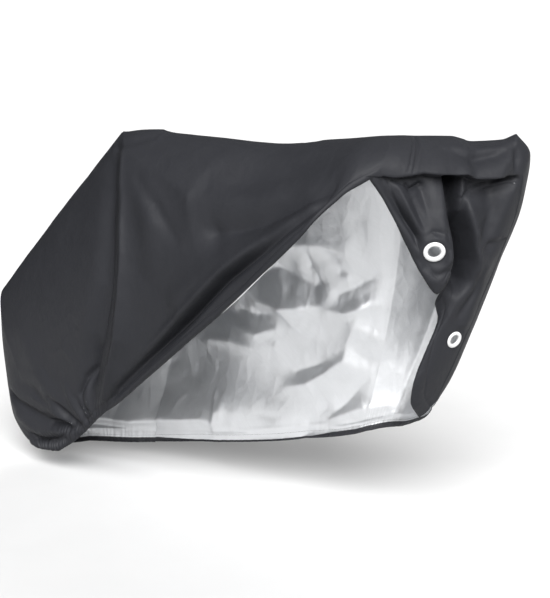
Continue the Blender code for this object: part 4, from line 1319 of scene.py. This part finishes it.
@dataclass
class Studio:
    """The floor, the soft light and the camera."""

    pixels_wide: int = 550
    focal_pixels: float = 1454.0
    eye: tuple = (2.75, -2.77, 1.38)
    turn: float = 38.6
    tilt: float = 12.4
    floor_radius: float = 400.0
    sky: tuple = (0.36, 0.12)
    sky_sides: tuple = (0.25, 1.3)
    sky_reach: float = 0.9
    flag: tuple = ((-2.2, -1.4), (-2.6, 1.1))
    flag_height: float = 1.6
    flag_gap: float = 0.01
    key: float = 7.0
    key_angle: float = 44.0
    key_turn: tuple = (52.0, 0.0, 40.0)
    rear: float = 1.8
    rear_turn: tuple = (56.0, 0.0, 196.0)
    backdrop: float = 0.95

    def build(self, patterns: Patterns) -> None:
        """Sets everything up.

        Args:
            patterns: The shared node groups.
        """
        self._camera()
        self._lights()
        self._floor(patterns)
        self._flag(patterns)

    def _camera(self) -> None:
        """Places the camera where the picture was taken from."""
        data = bpy.data.cameras.new("camera")
        data.sensor_fit = "HORIZONTAL"
        data.lens = data.sensor_width * self.focal_pixels / self.pixels_wide
        camera = put("camera", data)
        camera.location = Vector(self.eye) - Vector(ORIGIN)
        camera.rotation_euler = (math.radians(90 - self.tilt), 0, math.radians(self.turn))
        bpy.context.scene.camera = camera

    def _lights(self) -> None:
        """Adds a wide soft key light, a weaker one from behind and an even pale sky."""
        scene = bpy.context.scene
        scene.view_settings.view_transform = "Standard"
        world = bpy.data.worlds.new("studio")
        world.use_nodes = True
        nodes = NodeTree(world.node_tree)
        background = world.node_tree.nodes["Background"]
        way = nodes.add("ShaderNodeTexCoord").outputs["Generated"]
        way = nodes.add("ShaderNodeSeparateXYZ", {0: way}).outputs
        upward = nodes.even_range(way[2], (0.0, self.sky_reach), self.sky)
        sideways = nodes.even_range(way[0], (-self.sky_reach, self.sky_reach), self.sky_sides)
        light = nodes.math("MULTIPLY", upward, sideways)
        camera_ray = nodes.add("ShaderNodeLightPath").outputs["Is Camera Ray"]
        seen = nodes.math("MULTIPLY", camera_ray, self.backdrop)
        nodes.fill(background, {"Color": (1.0, 1.0, 1.0, 1.0),
                                "Strength": nodes.math("MAXIMUM", light, seen)})
        scene.world = world
        for name, energy, turn in (("key_light", self.key, self.key_turn),
                                   ("rear_light", self.rear, self.rear_turn)):
            data = bpy.data.lights.new(name, "SUN")
            data.energy = energy
            data.angle = math.radians(self.key_angle)
            lamp = put(name, data)
            lamp.rotation_euler = [math.radians(angle) for angle in turn]
            lamp.visible_glossy = name == "key_light"

    def _floor(self, patterns: Patterns) -> bpy.types.Object:
        """A wide round floor under the cover."""
        mesh = bmesh.new()
        bmesh.ops.create_circle(mesh, cap_ends=True, segments=64, radius=self.floor_radius)
        bmesh.ops.translate(mesh, verts=mesh.verts, vec=(0, 0, -ORIGIN[2]))
        data = bpy.data.meshes.new("floor")
        mesh.to_mesh(data)
        mesh.free()
        data.materials.append(PALE_FLOOR.material(patterns))
        return put("floor", data)

    def _flag(self, patterns: Patterns) -> bpy.types.Object:
        """A dark board beside the picture that keeps the tail's side in half shade."""
        (left, right), height = self.flag, self.flag_height
        low = -ORIGIN[2] + self.flag_gap
        corners = [(*left, low), (*right, low), (*right, height), (*left, height)]
        mesh = bpy.data.meshes.new("flag")
        mesh.from_pydata(corners, [], [(0, 1, 2, 3)])
        mesh.materials.append(DARK_BOARD.material(patterns))
        flag = put("flag", mesh)
        flag.visible_camera = flag.visible_shadow = False
        return flag


def sewn_lines(sheet: DrapedSheet) -> dict:
    """The stitched lines of the cover, by piece.

    Args:
        sheet: The draped sheet.

    Returns:
        Piece names and their lines.
    """
    last = 2 * sheet.half
    band = sheet.band_rows
    return {
        "near_hem_stitches": (
            Line("tail_foot", "front_seam", (band - 1, band - 1)),
            Line("front_seam", "", (band - 1, band - 1)),
        ),
        "far_hem_stitches": (
            Line("tail_foot", "", (last - band + 1, last - band + 1)),
            Line("tail_foot", "", (last - 5, last - 5), True),
        ),
        "tail_seam_stitches": (
            Line("apex+0.04", "apex+0.04", (0, last)),
            Line("apex+0.10", "apex+0.10", (0, last)),
        ),
        "front_seam_stitches": (
            Line("flap_start+0.62", "flap_start+0.62", (sheet.rows["fold"] + 1, sheet.half)),
        ),
        "nose_seam_stitches": (
            Line("peak", "", (sheet.rows["fold"] + 2, sheet.rows["fold"] + 2)),
            Line("peak", "", (sheet.rows["far_fold"] - 2, sheet.rows["far_fold"] - 2)),
        ),
    }


def dress(piece: bpy.types.Object, slot: str, *nodes: str) -> None:
    """Lets a piece ride on the cover and stand for its nodes.

    Args:
        piece: The piece.
        slot: The name of its material slot. Not used.
        nodes: The nodes that it stands for.
    """
    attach(piece, "root")
    if nodes:
        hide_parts(*nodes)
    LOG.info("%s: %d faces", piece.name, len(piece.data.polygons))


def main() -> None:
    """Builds the scene."""
    logging.basicConfig(level=logging.INFO, format="%(name)s %(message)s")
    patterns = Patterns()
    Studio().build(patterns)
    black, silver = BLACK_CLOTH.material(patterns), SILVER_BACK.material(patterns)
    white, thread = WHITE_RING.material(patterns), BLACK_THREAD.material(patterns)
    sheet = DrapedSheet()
    placed = [(eyelet, *sheet.lay_flat(eyelet)) for eyelet in EYELETS]
    cutter = ClothCutter(sheet)
    for eyelet, centre, _ in placed:
        cutter.holes.append((centre, eyelet.diameter * RING_CUT))
    cloth = {panel.name: (panel, cutter.cut(panel, (black, silver))) for panel in PANELS}
    for panel, piece in cloth.values():
        dress(piece, CLOTH_SLOT, panel.node)
    rings = {}
    for eyelet, centre, axis in placed:
        ring = MouldedRing(eyelet).build(centre, axis, white)
        dress(ring, RING_SLOT, eyelet.node)
        rings[eyelet.panel] = ring
    stitching = Stitching(cutter)
    for name, lines in sewn_lines(sheet).items():
        dress(stitching.sew(name, lines, thread), CLOTH_SLOT)
    for panel, piece in cloth.values():
        ring = rings.get(panel.name)


if __name__ == "__main__":
    main()
